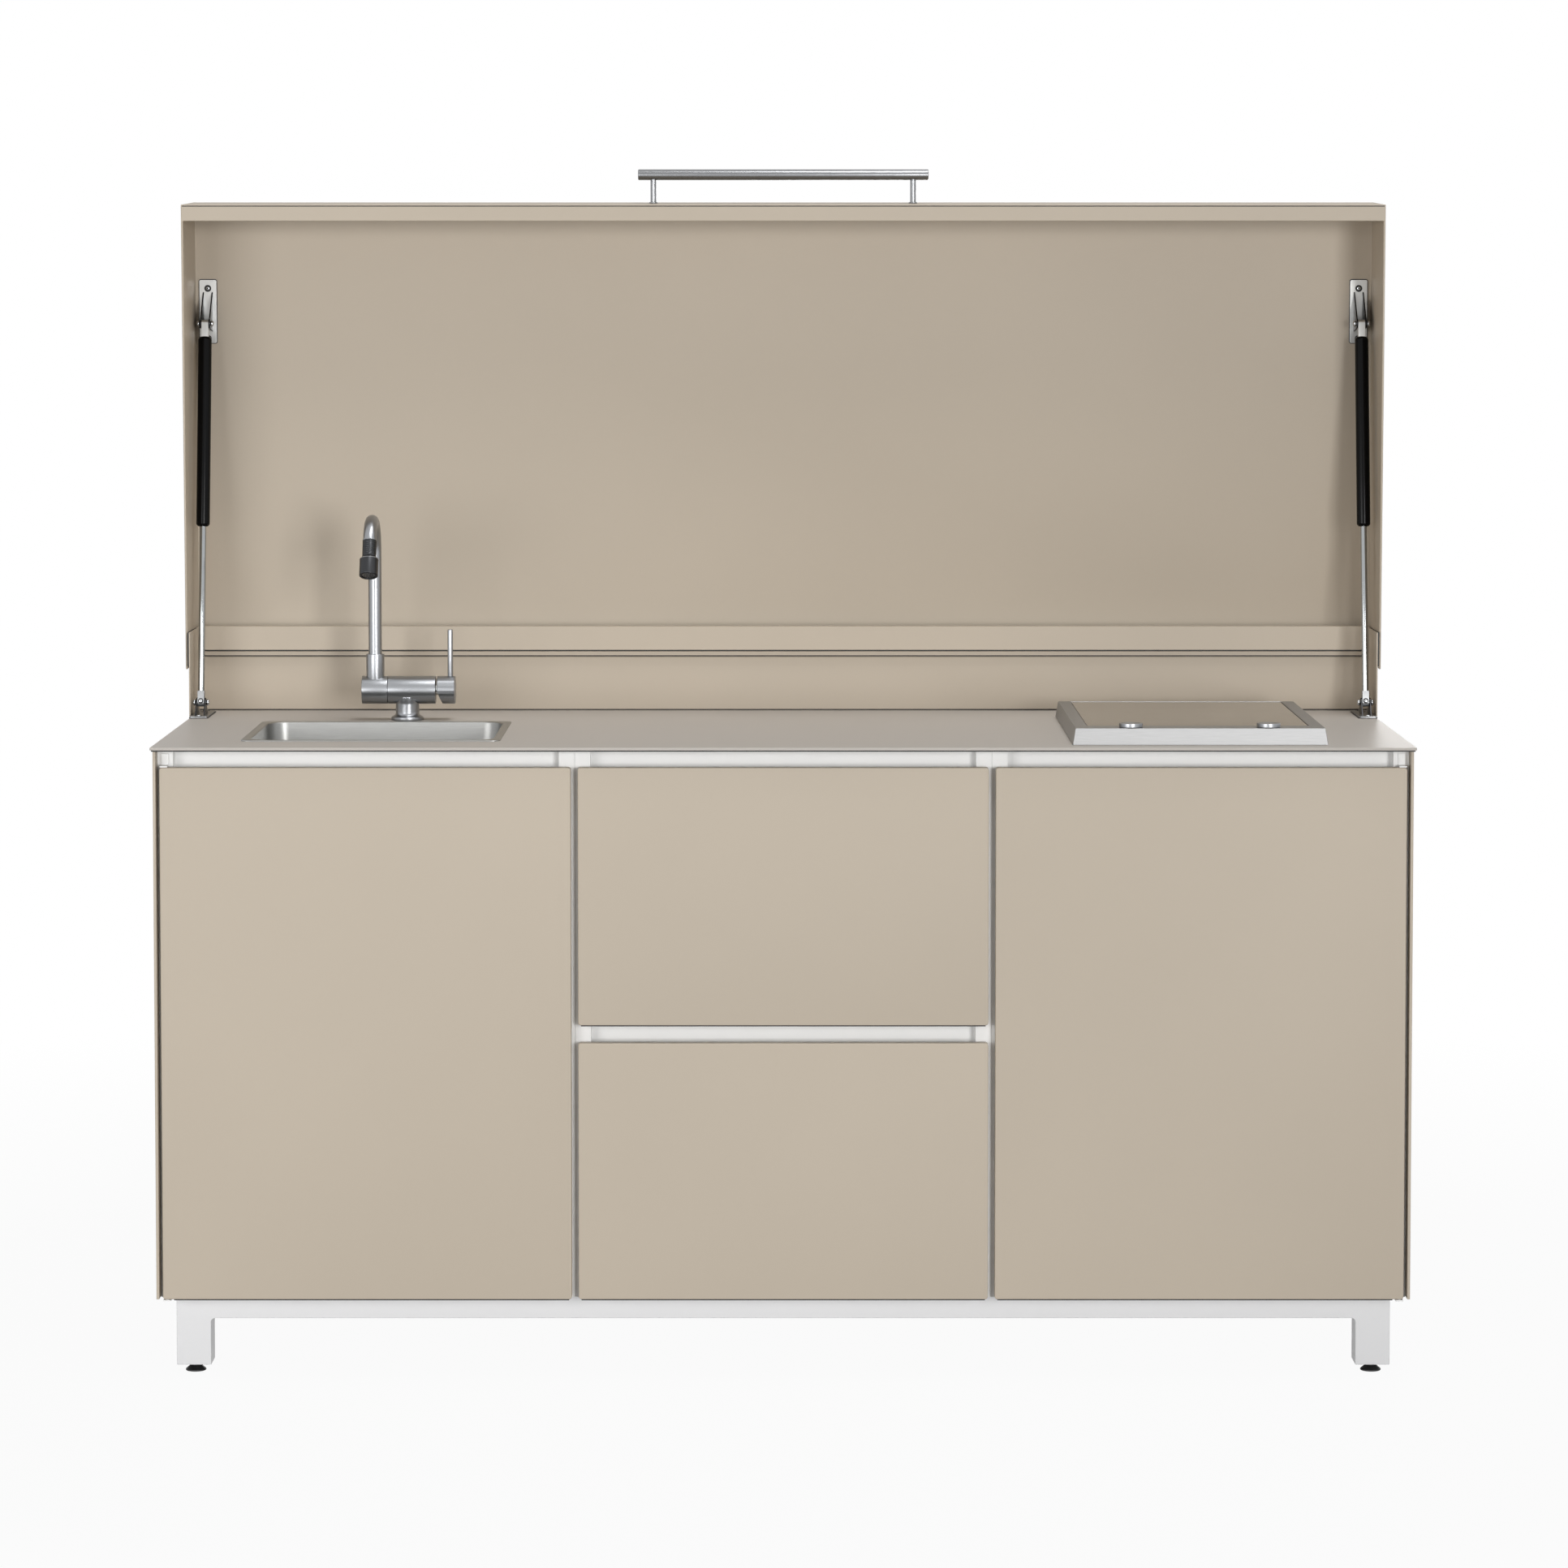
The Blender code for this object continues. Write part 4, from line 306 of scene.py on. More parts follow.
@dataclass(frozen=True)
class MouldedPlastic(Finish):
    """Black nylon or rubber moulded in a spark-eroded tool.

    The eye sees a matt black skin with a fine pebble and paler scuffs where it is rubbed.
    """

    pebble_mm: float = 0.8
    scuff_mm: float = 1000.0 / 120.0

    def paint(self, coat: Coat) -> None:
        """Let scuffs move the tone and roughness, and a pebble the bump."""
        pebble = coat.pattern(1000.0 / self.pebble_mm, "TexVoronoi", "Distance")
        scuff = coat.pattern(1000.0 / self.scuff_mm, Detail=4.0)
        coat.tone(scuff, (shade(self.colour), shade(self.colour, 1.9, 0.004)), (0.4, 0.85))
        coat.rough(scuff, self.roughness - 0.08, self.roughness + 0.12)
        coat.bump(pebble, 0.12, 0.2)


@dataclass(frozen=True)
class GalvanisedSheet(Finish):
    """Hot-dip galvanised steel, used where it isn't seen in normal use.

    The eye sees a cold grey metal broken into flat crystals some 12 mm across.
    """

    metallic: ClassVar[float] = 1.0
    crystal_mm: float = 12.0

    def paint(self, coat: Coat) -> None:
        """Let the crystals move the tone and roughness."""
        spangle = coat.pattern(1000.0 / self.crystal_mm, "TexVoronoi", "Color")
        coat.tone(spangle, (shade(self.colour, 0.85), shade(self.colour, 1.15)))
        coat.rough(spangle, self.roughness - 0.1, self.roughness + 0.1)


class Palette:
    """The unit's finishes, each made once."""

    def __init__(self) -> None:
        """Build every material."""
        powder, brushed, polished = PowderCoat, BrushedSteel, PolishedMetal
        self.taupe = powder("taupe_powder_coat_on_steel", "BDB1A0", 0.52).make()
        self.white = powder("white_powder_coat_on_steel", "F5F5F4", 0.45, drift=0.015).make()
        self.base = powder("white_powder_coat_on_tube", "ECECED", 0.50, drift=0.015).make()
        self.worktop = powder("matt_coated_worktop_sheet", "C6C0B9", 0.42, grain_mm=0.9, peel=0.03,
                              gloss=0.02).make()
        self.sink = brushed("brushed_stainless_bowl", "9C9C9A", 0.36).make()
        self.tap = brushed("satin_stainless_tap", "9A9C9F", 0.30, Axis.Z, line_mm=0.35, depth=0.03).make()
        self.nozzle = brushed("graphite_plated_nozzle", "424345", 0.30, Axis.Z, line_mm=0.3,
                              depth=0.03).make()
        self.bar = brushed("satin_stainless_bar", "868789", 0.26, line_mm=0.35, depth=0.06).make()
        self.hob = brushed("brushed_stainless_frame", "949494", 0.42, depth=0.06).make()
        self.plate = polished("polished_steel_fry_plate", "6E6860", 0.08).make()
        self.rod = polished("hard_chromed_rod", "A6A9AA", 0.10, cloud_mm=15.0, cloud=0.03).make()
        self.zinc = polished("bright_zinc_plated_steel", "C6C6C4", 0.36, cloud_mm=8.0, cloud=0.08).make()
        # A darker copy of the zinc plating, for the rod blocks and the base brackets' plates: painted
        # shade.
        self.block = polished("zinc_darkened_as_painted_shade", "8C8D8E", 0.36, cloud_mm=8.0).make()
        self.head = polished("nickel_plated_head", "BCBEC0", 0.16, cloud_mm=6.0).make()
        self.tube = GlossEnamel("black_enamelled_tube", "050506", 0.16).make()
        self.black = MouldedPlastic("moulded_black_nylon", "0E0E0E", 0.50).make()
        # A dark steel for the ears: their sheared edges are darker than the zinc, and the rest of the
        # darkness is painted shade on the ears.
        self.edge = polished("phosphated_steel_ear", "333334", 0.35, cloud_mm=8.0).make()
        self.cartridge = polished("chromed_brass_cartridge", "DADAD7", 0.12, cloud_mm=10.0).make()
        self.galvanised = GalvanisedSheet("galvanised_sheet", "9B9E9F", 0.42).make()


# Surfaces worked out with numpy


def mm(table: Profile) -> list[tuple[float, float]]:
    """Turn a table in millimetres into metres."""
    return [(a * MM, b * MM) for a, b in table]


def grid_faces(rows: int, columns: int, wrap_rows: bool = False) -> np.ndarray:
    """Quads of a grid whose columns close on themselves.

    Vertex (i, j) is number i * columns + j, and quad (i, j) joins rows i and i + 1.

    Args:
        rows: Number of rings.
        columns: Points in each ring.
        wrap_rows: True joins the last ring to the first.

    Returns:
        Array of four indices a face.
    """
    i = np.arange(rows if wrap_rows else rows - 1)[:, None]
    j = np.arange(columns)[None, :]
    k = (i + 1) % rows
    after = (j + 1) % columns
    quads = np.stack([i * columns + j, i * columns + after, k * columns + after, k * columns + j], -1)
    return quads.reshape(-1, 4)


@dataclass
class Shell:
    """Points and faces of one surface, which can be moved, turned and added to others."""

    points: np.ndarray
    faces: list[list[int]]

    def moved(self, matrix: Matrix) -> Shell:
        """The same surface carried through a placement."""
        turn = np.array(matrix)
        return Shell(self.points @ turn[:3, :3].T + turn[:3, 3], self.faces)

    def plus(self, other: Shell) -> Shell:
        """Join another surface's points and faces after this one's."""
        count = len(self.points)
        faces = [[i + count for i in face] for face in other.faces]
        return Shell(np.vstack([self.points, other.points]), self.faces + faces)


def joined(shells: Iterable[Shell]) -> Shell:
    """Join surfaces in their order."""
    return reduce(Shell.plus, shells)


def ring_loft(rings: Sequence[np.ndarray], closed: bool = False) -> Shell:
    """Skin rings of points; p(i, j) is point j of ring i.

    Args:
        rings: Rings with as many points each.
        closed: True joins the last ring to the first, otherwise both ends are capped.

    Returns:
        The closed surface.
    """
    grid = np.stack(rings)
    count, size = grid.shape[:2]
    faces = grid_faces(count, size, closed).tolist()
    if not closed:
        faces += [list(range(size))[::-1], list(range((count - 1) * size, count * size))]
    return Shell(grid.reshape(-1, 3), faces)


def rounded_outline(half_a: float, half_b: float, radius: float, steps: int = 6) -> np.ndarray:
    """Rectangle with round corners: each corner is centre + radius * (cos t, sin t) over a quarter turn.

    Args:
        half_a: Half width.
        half_b: Half height.
        radius: Corner radius.
        steps: Chords in each corner.

    Returns:
        Array of two coordinates a point, anticlockwise.
    """
    t = (np.arange(4)[:, None] + np.arange(steps + 1)[None, :] / steps) * math.pi / 2
    signs = np.array([[1, 1], [-1, 1], [-1, -1], [1, -1]], float)
    centres = signs * np.array([half_a - radius, half_b - radius])
    corner = np.stack([np.cos(t), np.sin(t)], -1) * radius
    return (centres[:, None, :] + corner).reshape(-1, 2)


def level(flat: np.ndarray, x: float, y: float, height: float) -> np.ndarray:
    """Lay a flat outline level about (x, y) at one height."""
    return np.column_stack([flat[:, 0] + x, flat[:, 1] + y, np.full(len(flat), height)])


def arc(radius: float, start_deg: float, stop_deg: float, count: int, height: float = 0.0) -> list:
    """Points (radius cos t, height + radius sin t) from one angle to another."""
    t = np.radians(np.linspace(start_deg, stop_deg, count))
    return list(zip(radius * np.cos(t), height + radius * np.sin(t)))


def plug(radius: float, start: float, stop: float) -> Profile:
    """Profile of a plain round bar: out from the axis at its start and back at its stop."""
    return [(0, start), (radius, start), (radius, stop), (0, stop)]


def softened(profile: Profile, radius: float, steps: int = 4) -> Profile:
    """Round the corners of a profile with quadratic curves a * (1-t)^2 + 2 b t (1-t) + c t^2.

    Args:
        profile: Corners in order; the two ends are kept.
        radius: Distance from each corner at which its curve starts, at most 45% of a side.
        steps: Chords in each curve.

    Returns:
        The rounded profile.
    """
    points = [np.array(p, float) for p in profile]
    out = [points[0]]
    t = np.linspace(0.0, 1.0, steps + 1)[:, None]
    for before, corner, after in zip(points, points[1:], points[2:]):
        to_a, to_c = before - corner, after - corner
        len_a, len_c = float(np.hypot(*to_a)), float(np.hypot(*to_c))
        reach = min(radius, 0.45 * len_a, 0.45 * len_c)
        a = corner + to_a * (reach / len_a)
        c = corner + to_c * (reach / len_c)
        out += list(a * (1 - t) ** 2 + 2 * corner * t * (1 - t) + c * t ** 2)
    out.append(points[-1])
    return [tuple(p) for p in out]


def turned(profile: Profile, corner: float = 0.0, segments: int = 48, steps: int = 4) -> Shell:
    """Surface of revolution: p(i, t) = (r_i cos t, r_i sin t, h_i).

    Args:
        profile: Radius and height of each step, starting and ending on the axis.
        corner: Rounding of the profile's corners, 0 for none.
        segments: Facets round the axis.
        steps: Chords in each rounded corner.

    Returns:
        Closed surface about Z.
    """
    table = np.array(softened(profile, corner, steps) if corner else profile, float)
    inner = table[1:-1]
    t = np.linspace(0.0, 2.0 * math.pi, segments, endpoint=False)
    ring = np.stack([np.cos(t), np.sin(t)], -1)
    heights = np.repeat(inner[:, None, 1:2], segments, 1)
    body = np.concatenate([inner[:, None, 0:1] * ring[None], heights], -1)
    points = np.vstack([body.reshape(-1, 3), [[0.0, 0.0, table[0, 1]], [0.0, 0.0, table[-1, 1]]]])
    faces = grid_faces(len(inner), segments).tolist()
    bottom, top = len(points) - 2, len(points) - 1
    last = (len(inner) - 1) * segments
    j = np.arange(segments)
    k = (j + 1) % segments
    faces += np.stack([np.full(segments, bottom), k, j], -1).tolist()
    faces += np.stack([last + j, last + k, np.full(segments, top)], -1).tolist()
    return Shell(points, faces)


@dataclass(frozen=True)
class Turning:
    """Table of one turned shape: its profile and its corners' rounding in mm, and its facets."""

    profile: Profile
    corner: float = 0.0
    segments: int = 48
    steps: int = 4

    def shell(self, place: Matrix = Matrix()) -> Shell:
        """The turned surface carried through a placement."""
        return turned(mm(self.profile), self.corner * MM, self.segments, self.steps).moved(place)


def swept(path: np.ndarray, radius: float, segments: int) -> Shell:
    """Round tube along a path in the plane X = 0: p(i, t) = c_i + r (cos t * X + sin t * n_i).

    Args:
        path: Centre points, with X the same along it.
        radius: The tube's radius.
        segments: Facets round the tube.

    Returns:
        Closed tube with flat ends.
    """
    way = np.gradient(path, axis=0)
    way /= np.linalg.norm(way, axis=1)[:, None]
    side = np.tile([1.0, 0.0, 0.0], (len(path), 1))
    up = np.cross(way, side)
    t = np.linspace(0.0, 2.0 * math.pi, segments, endpoint=False)[None, :, None]
    return ring_loft(path[:, None] + radius * (np.cos(t) * side[:, None] + np.sin(t) * up[:, None]))


def prism(outline: Profile, start: float, end: float) -> Shell:
    """Flat outline in (Y, Z) carried along X from start to end."""
    flat = np.array(outline, float)
    return ring_loft([np.column_stack([np.full(len(flat), x), flat]) for x in (start, end)])


def aimed(axis: Axis, origin: Sequence[float]) -> Matrix:
    """Placement that turns Z onto an axis and moves the middle to an origin."""
    turns = {Axis.X: Matrix.Rotation(math.pi / 2, 4, "Y"), Axis.Y: Matrix.Rotation(-math.pi / 2, 4, "X"),
             Axis.Z: Matrix.Identity(4)}
    return Matrix.Translation(Vector(origin)) @ turns[axis]


def in_lid() -> Matrix:
    """Placement of the lid's own axes, which sit on its hinge, at rest."""
    return Matrix.Translation((0.0, AXIS_Y, AXIS_Z)) @ Matrix.Rotation(LID_ANGLE, 4, "X")


# Pieces and how they join the frame


@dataclass
class Piece:
    """One finished piece: its surface, where it rides, what it stands for and its finish."""

    name: str
    body: str
    slot: str
    material: bpy.types.Material
    replaces: tuple[str, ...] = ()
    smooth_deg: float = 32.0
    bevel: float = 0.0
    bevel_steps: int = 2
    bevel_deg: ClassVar[float] = 40.0
    weld: ClassVar[float] = 0.01 * MM
    flat_deg: ClassVar[float] = 0.8

    def place(self, shell: Shell) -> None:
        """Turn a surface, in the frame's axes, into an object that rides on its body."""
        mesh = bpy.data.meshes.new(self.name)
        mesh.from_pydata(shell.points.tolist(), [], shell.faces)
        bm = bmesh.new()
        bm.from_mesh(mesh)
        bmesh.ops.recalc_face_normals(bm, faces=bm.faces)
        self.dress(mesh, bm)

    def copy_of(self, node: bpy.types.Object) -> None:
        """Stand in for a frame node with a merged copy of it, so that its edges can be rounded."""
        mesh = node.data.copy()
        mesh.name = self.name
        bm = bmesh.new()
        bm.from_mesh(mesh)
        bmesh.ops.remove_doubles(bm, verts=bm.verts, dist=self.weld)
        flat = math.radians(self.flat_deg)
        bmesh.ops.dissolve_limit(bm, angle_limit=flat, verts=bm.verts, edges=bm.edges)
        self.dress(mesh, bm)

    def dress(self, mesh: bpy.types.Mesh, bm: bmesh.types.BMesh) -> None:
        """Give a mesh its finish, its rounded edges and its body.

        Args:
            mesh: The mesh, in the frame's axes.
            bm: Its edited geometry, which is written back and freed.
        """
        bm.to_mesh(mesh)
        bm.free()
        mesh.materials.clear()
        mesh.materials.append(self.material)
        mesh.shade_smooth()
        mesh.set_sharp_from_angle(angle=math.radians(self.smooth_deg))
        item = bpy.data.objects.new(self.name, mesh)
        bpy.context.collection.objects.link(item)
        if self.bevel > 0.0:
            edge = item.modifiers.new("folded_edge", "BEVEL")
            edge.width = self.bevel
            edge.segments = self.bevel_steps
            edge.limit_method = "ANGLE"
            edge.angle_limit = math.radians(self.bevel_deg)
            edge.harden_normals = True
            edge.use_clamp_overlap = True
        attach(item, self.body)
        if self.replaces:
            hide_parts(*self.replaces)
        LOG.info("%s rides on %s with %d faces", self.name, self.body, len(mesh.polygons))


@dataclass
class Assembly:
    """Pieces that belong together, and the finishes they take."""

    palette: Palette

    def add(self, name: str, body: str, slot: str, material: bpy.types.Material, shell: Shell,
            node: str = "", **edges) -> None:
        """Place one piece, which stands for a node where one is named."""
        Piece(name, body, slot, material, (node,) if node else (), **edges).place(shell)

    def shade_strip(self, name: str, body: str, depth: Sequence[float], rise: Sequence[float], corner: float,
             ends: Sequence[float], place: Matrix = Matrix()) -> None:
        """Run a black strip along X, which stands for a line of shade: painted shade.

        Args:
            name: Piece name.
            body: Body it rides on.
            depth: Its first and last Y.
            rise: Its lowest and highest Z.
            corner: Rounding of its section.
            ends: Its first and last X.
            place: Placement applied last.
        """
        (start, stop), (under, over) = depth, rise
        section = softened([(start, under), (stop, under), (stop, over), (start, over)], corner)
        self.add(name, body, "black_moulded", self.palette.black, prism(section, *ends).moved(place))


@dataclass
class SheetWork(Assembly):
    """Folded and welded sheet whose frame shape is right: it gets real edges and a finish.

    Each row of the table names nodes, their body and finish, and the radius in mm and the facets
    of their edges.
    """

    nodes: dict[str, bpy.types.Object]
    slots: ClassVar[dict[str, str]] = {
        "taupe": "taupe_powder_coat", "white": "white_powder_coat", "base": "white_powder_coat",
        "worktop": "worktop_coat", "zinc": "zinc_plated_steel"}
    sheets: ClassVar[Sequence[tuple[str, str, str, float, int]]] = (
        ("side_panel_left side_panel_right back_panel", "unit", "taupe", 0.4, 2),
        ("splash_panel upstand upstand_rail", "unit", "taupe", 0.4, 2),
        ("lid_shell", "lid", "taupe", 1.2, 3),
        ("worktop", "unit", "worktop", 0.8, 3),
        ("carcass_left carcass_centre carcass_right", "unit", "white", 0.5, 2),
        ("base_frame", "unit", "base", 3.0, 3),
        ("door_pivot_top_left door_pivot_top_right", "unit", "white", 0.3, 2),
        ("door_pivot_bottom_left door_pivot_bottom_right", "unit", "white", 0.3, 2),
        ("drawer_box_upper", "drawer_upper", "white", 0.4, 2),
        ("drawer_runner_upper_left drawer_runner_upper_right", "unit", "zinc", 0.3, 2),
        ("drawer_box_lower", "drawer_lower", "white", 0.4, 2),
        ("drawer_runner_lower_left drawer_runner_lower_right", "unit", "zinc", 0.3, 2),
    )

    def build(self) -> None:
        """Replace each plain sheet node by its merged and softened copy."""
        for names, body, finish, edge, steps in self.sheets:
            for name in names.split():
                piece = Piece(f"{name}_sheet", body, self.slots[finish], getattr(self.palette, finish),
                              (name,), bevel=edge * MM, bevel_steps=steps)
                piece.copy_of(self.nodes[name])


@dataclass
class EdgeShadeStrip(Assembly):
    """Black strip under the worktop's front edge, which stands for the line of shade under it: painted
    shade.
    """

    setback: float = 1.2 * MM
    depth: float = 8.0 * MM
    height: float = 1.7 * MM
    end_gap: float = 2.0 * MM
    clear: float = 0.05 * MM
    corner: float = 0.4 * MM

    def build(self) -> None:
        """Lay the strip against the worktop's underside."""
        low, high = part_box("worktop")
        front, under = low[1] + self.setback, low[2] - self.clear
        # The black strip is painted shade under the worktop's front edge.
        self.shade_strip("worktop_edge_shade_strip", "unit", (front, front + self.depth), (under - self.height, under),
                  self.corner, (low[0] + self.end_gap, high[0] - self.end_gap))


@dataclass
class UpstandShadeStrips(Assembly):
    """Black strips on the upstand: three along the rail and the splash panel, one on each cheek, all
    painted shade.

    The three lie in the rail's groove, under its lip and under the splash panel, and stand for the shade
    there. The one on each cheek fills most of the gap to the lid's side and stands for the shade in that
    gap.
    """

    lip_bottom: float = 1.0067
    rail_bottom: float = 1.0155
    lip_face: float = 0.6297 - DEPTH_SHIFT
    rail_face: float = 0.6253 - DEPTH_SHIFT
    splash_face: float = 0.6370 - DEPTH_SHIFT
    splash_bottom: float = WORKTOP_TOP + 2.5 * MM
    shade_line: float = 1.6 * MM
    corner: float = 0.3 * MM
    inset: float = 0.6 * MM
    reach: float = 2.0 * MM
    end_gap: float = 1.0 * MM
    trim: float = 2.0 * MM
    gap_shade_width: float = 1.6 * MM
    gap_shade_end: float = 0.998
    gap_shade_back: float = 4.0 * MM
    gap_shade_edge: float = 0.2 * MM

    def build(self) -> None:
        """Lay the three strips along the rail, and bend a strip round each cheek's top and front edge."""
        low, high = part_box("upstand_rail")
        ends = (low[0] + self.end_gap, high[0] - self.end_gap)
        # These three black strips are painted shade in the groove, under the lip and under the splash
        # panel.
        for name, face, over in (("groove", self.rail_face, self.rail_bottom),
                                 ("lip", self.lip_face, self.lip_bottom),
                                 ("foot", self.splash_face, self.splash_bottom)):
            start = face + self.inset
            self.shade_strip(f"upstand_{name}_cord", "unit", (start, start + self.reach), (over - self.shade_line, over),
                      self.corner, ends)
        low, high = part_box("upstand")
        front, top, back = low[1], high[2], self.lip_face - self.gap_shade_back
        inner, under = front + self.gap_shade_width, top - self.gap_shade_width
        outline = [(front, self.gap_shade_end), (inner, self.gap_shade_end), (inner, under), (back, under),
                   (back, top), (front, top)]
        # The black strip on each cheek, self.trim wide, is painted shade in the gap to the lid's side.
        for label, start in (("left", low[0] - self.trim), ("right", high[0])):
            self.add(f"upstand_cheek_gap_shade_{label}", "unit", "black_moulded", self.palette.black,
                     prism(outline, start, start + self.trim), bevel=self.gap_shade_edge)


@dataclass
class Front(Assembly):
    """Door or drawer front: a folded cassette whose face turns over a tight radius at each edge."""

    node: str
    body: str
    pivot_side: int = 0
    pivot_room: float = 16.0 * MM
    corner: float = 4.0 * MM
    least_corner: float = 0.6 * MM
    edge: float = 1.4 * MM
    sheet: float = 1.5 * MM
    flange: float = 45.0 * MM
    turn_share: float = 0.3
    bottom_shade_depth_mm: ClassVar[tuple[float, float]] = (0.4, 6.0)
    bottom_shade_rise_mm: ClassVar[tuple[float, float]] = (-1.3, 0.2)
    bottom_shade_corner: float = 0.2 * MM

    def build(self) -> None:
        """Loft the cassette from its face to the lip of its back flange, and lay a black strip under it,
        which is painted shade along its bottom edge.
        """
        low, high = (np.array(v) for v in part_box(self.node))
        centre, half = (low + high) / 2.0, (high - low) / 2.0
        front, back = low[1], high[1]
        t = np.linspace(0.0, math.pi / 2, 6)
        face = [(self.edge * (1 - math.sin(a)), front + self.edge * (1 - math.cos(a))) for a in t]
        turn = self.edge * self.turn_share
        profile = [*face, (0.0, back - self.edge), (turn, back - turn), (self.edge, back),
                   (self.flange, back), (self.flange, back - self.sheet), (self.sheet, back - self.sheet),
                   (self.sheet, front + self.sheet)]
        rings = []
        for inset, depth in profile:
            radius = max(self.corner - inset, self.least_corner)
            flat = rounded_outline(half[0] - inset, half[2] - inset, radius)
            rings.append(level(flat, centre[0], centre[2], depth)[:, [0, 2, 1]])
        self.add(f"{self.node}_cassette", self.body, "taupe_powder_coat", self.palette.taupe,
                 ring_loft(rings), self.node)
        # The black strip under the front's bottom edge is painted shade.
        depth, rise = ([base + v * MM for v in table] for base, table in
                       ((front, self.bottom_shade_depth_mm), (low[2], self.bottom_shade_rise_mm)))
        room = [max(self.corner, self.pivot_room * (self.pivot_side == side)) for side in (-1, 1)]
        self.shade_strip(f"{self.node}_bottom_shade_strip", self.body, depth, rise, self.bottom_shade_corner,
                  (low[0] + room[0], high[0] - room[1]))


@dataclass
class Lid(Assembly):
    """The lid's bar handle and a black strip along its rim, which is painted shade, made in the lid's own
    axes on its hinge line.
    """

    front: float = -0.6595
    bar_standoff: float = 0.044
    bar_height: float = 0.036 - 0.162 / 2
    bar_radius: float = 8.25 * MM
    bar_length: float = 0.4454
    bar_edge: float = 1.6 * MM
    post_radius: float = 4.55 * MM
    post_spacing: float = 0.3984
    collar_share: float = 1.5
    collar_height: float = 2.0 * MM
    collar_slope: float = 0.4 * MM
    post_edge: float = 0.3 * MM
    float_gap: float = 2.0 * MM
    rim_shade_end_gap: float = 2.0 * MM
    rim_shade_corner: float = 0.2 * MM
    rim_shade_depth_mm: ClassVar[tuple[float, float]] = (1.6, 3.0)
    rim_shade_rise_mm: ClassVar[tuple[float, float]] = (-0.3, 0.6)

    def build(self) -> None:
        """Turn the bar and its two posts, and lay the black strip of painted shade along the rim."""
        place = in_lid()
        half, axis_y = self.bar_length / 2, self.front - self.bar_standoff
        bar = turned(plug(self.bar_radius, -half, half), self.bar_edge)
        shells = [bar.moved(aimed(Axis.X, (0.0, axis_y, self.bar_height)))]
        radius, collar = self.post_radius, self.post_radius * self.collar_share
        end = self.bar_standoff - SEAT_GAP
        under = end - self.collar_height
        post = turned([(0, 0), (radius, 0), (radius, under), (collar, under + self.collar_slope),
                       (collar, end), (0, end)], self.post_edge, 32)
        for x in (-self.post_spacing / 2, self.post_spacing / 2):
            shells.append(post.moved(aimed(Axis.Y, (x, axis_y, self.bar_height))))
        self.add("lid_handle_bar", "lid", "brushed_stainless", self.palette.bar,
                 joined(shells).moved(place), "lid_handle")
        low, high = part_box("lid_shell")
        # The black strip along the lid's rim is painted shade.
        rim = WORKTOP_TOP + self.float_gap - AXIS_Z
        depth, rise = ([base + v * MM for v in table] for base, table in
                       ((self.front, self.rim_shade_depth_mm), (rim, self.rim_shade_rise_mm)))
        self.shade_strip("lid_rim_shade_strip", "lid", depth, rise, self.rim_shade_corner,
                  (low[0] + self.rim_shade_end_gap, high[0] - self.rim_shade_end_gap), place)


@dataclass(frozen=True)
class Bracket:
    """One pressed strut bracket, in its pivot's axes with the plate level.

    The plate lies between its seat, on the paint, and its outer face, and reaches from back to
    front. The ears start inner away from the middle, and rows says where the screws sit.
    """

    end: str
    body: str
    finish: str
    seat: float
    face: float
    reach: tuple[float, float]
    half_width: float
    inner: float
    ears: Profile
    rows: tuple[float, ...]
    pin_radius: float = 0.0
    corner: ClassVar[float] = 2.5 * MM
    # The pad's rim past the plate, the rings and the socket discs are painted shade.
    pad_thick: ClassVar[float] = 0.8 * MM
    pad_shade_rim: ClassVar[float] = 1.1 * MM
    pad_corner: ClassVar[float] = 3.6 * MM
    shade_ring_mm: ClassVar[tuple[float, float, float]] = (5.4, -0.2, 0.5)
    socket_shade_mm: ClassVar[tuple[float, float, float]] = (1.3, 1.2, 2.0)

    def disc(self, sizes: tuple[float, float, float], segments: int) -> Shell:
        """Round plate from its radius and its two distances out from the outer face, in mm."""
        radius, *ends = (v * MM for v in sizes)
        outward = math.copysign(1.0, self.face - self.seat)
        return turned(plug(radius, *sorted(self.face + outward * v for v in ends)), segments=segments)

    def plate(self, rim: float, corner: float, stop: float) -> Shell:
        """Flat plate from the seat to a height, a rim wider than the bracket's own."""
        back, front = self.reach
        flat = rounded_outline(self.half_width + rim, (front - back) / 2 + rim, corner)
        return ring_loft([level(flat, 0.0, (back + front) / 2, z) for z in sorted((self.seat, stop))])

    def pad(self) -> Shell:
        """Thin black pad under the plate, with a black ring round each screw and a black disc in its
        socket: painted shade along the plate's edge, round each screw and in the socket.
        """
        top = self.seat + math.copysign(self.pad_thick, self.face - self.seat)
        screw = self.disc(self.shade_ring_mm, 28).plus(self.disc(self.socket_shade_mm, 16))
        rows = (screw.moved(Matrix.Translation((0.0, y, 0.0))) for y in self.rows)
        return joined([self.plate(self.pad_shade_rim, self.pad_corner, top), *rows])


BLOCK = 10.5 * MM
EYE_HALF = 5.5 * MM
EAR_NOSE = 7.0 * MM
BASE_FACE = -18.4 * MM
BASE_EAR = BASE_FACE - 1.0 * MM
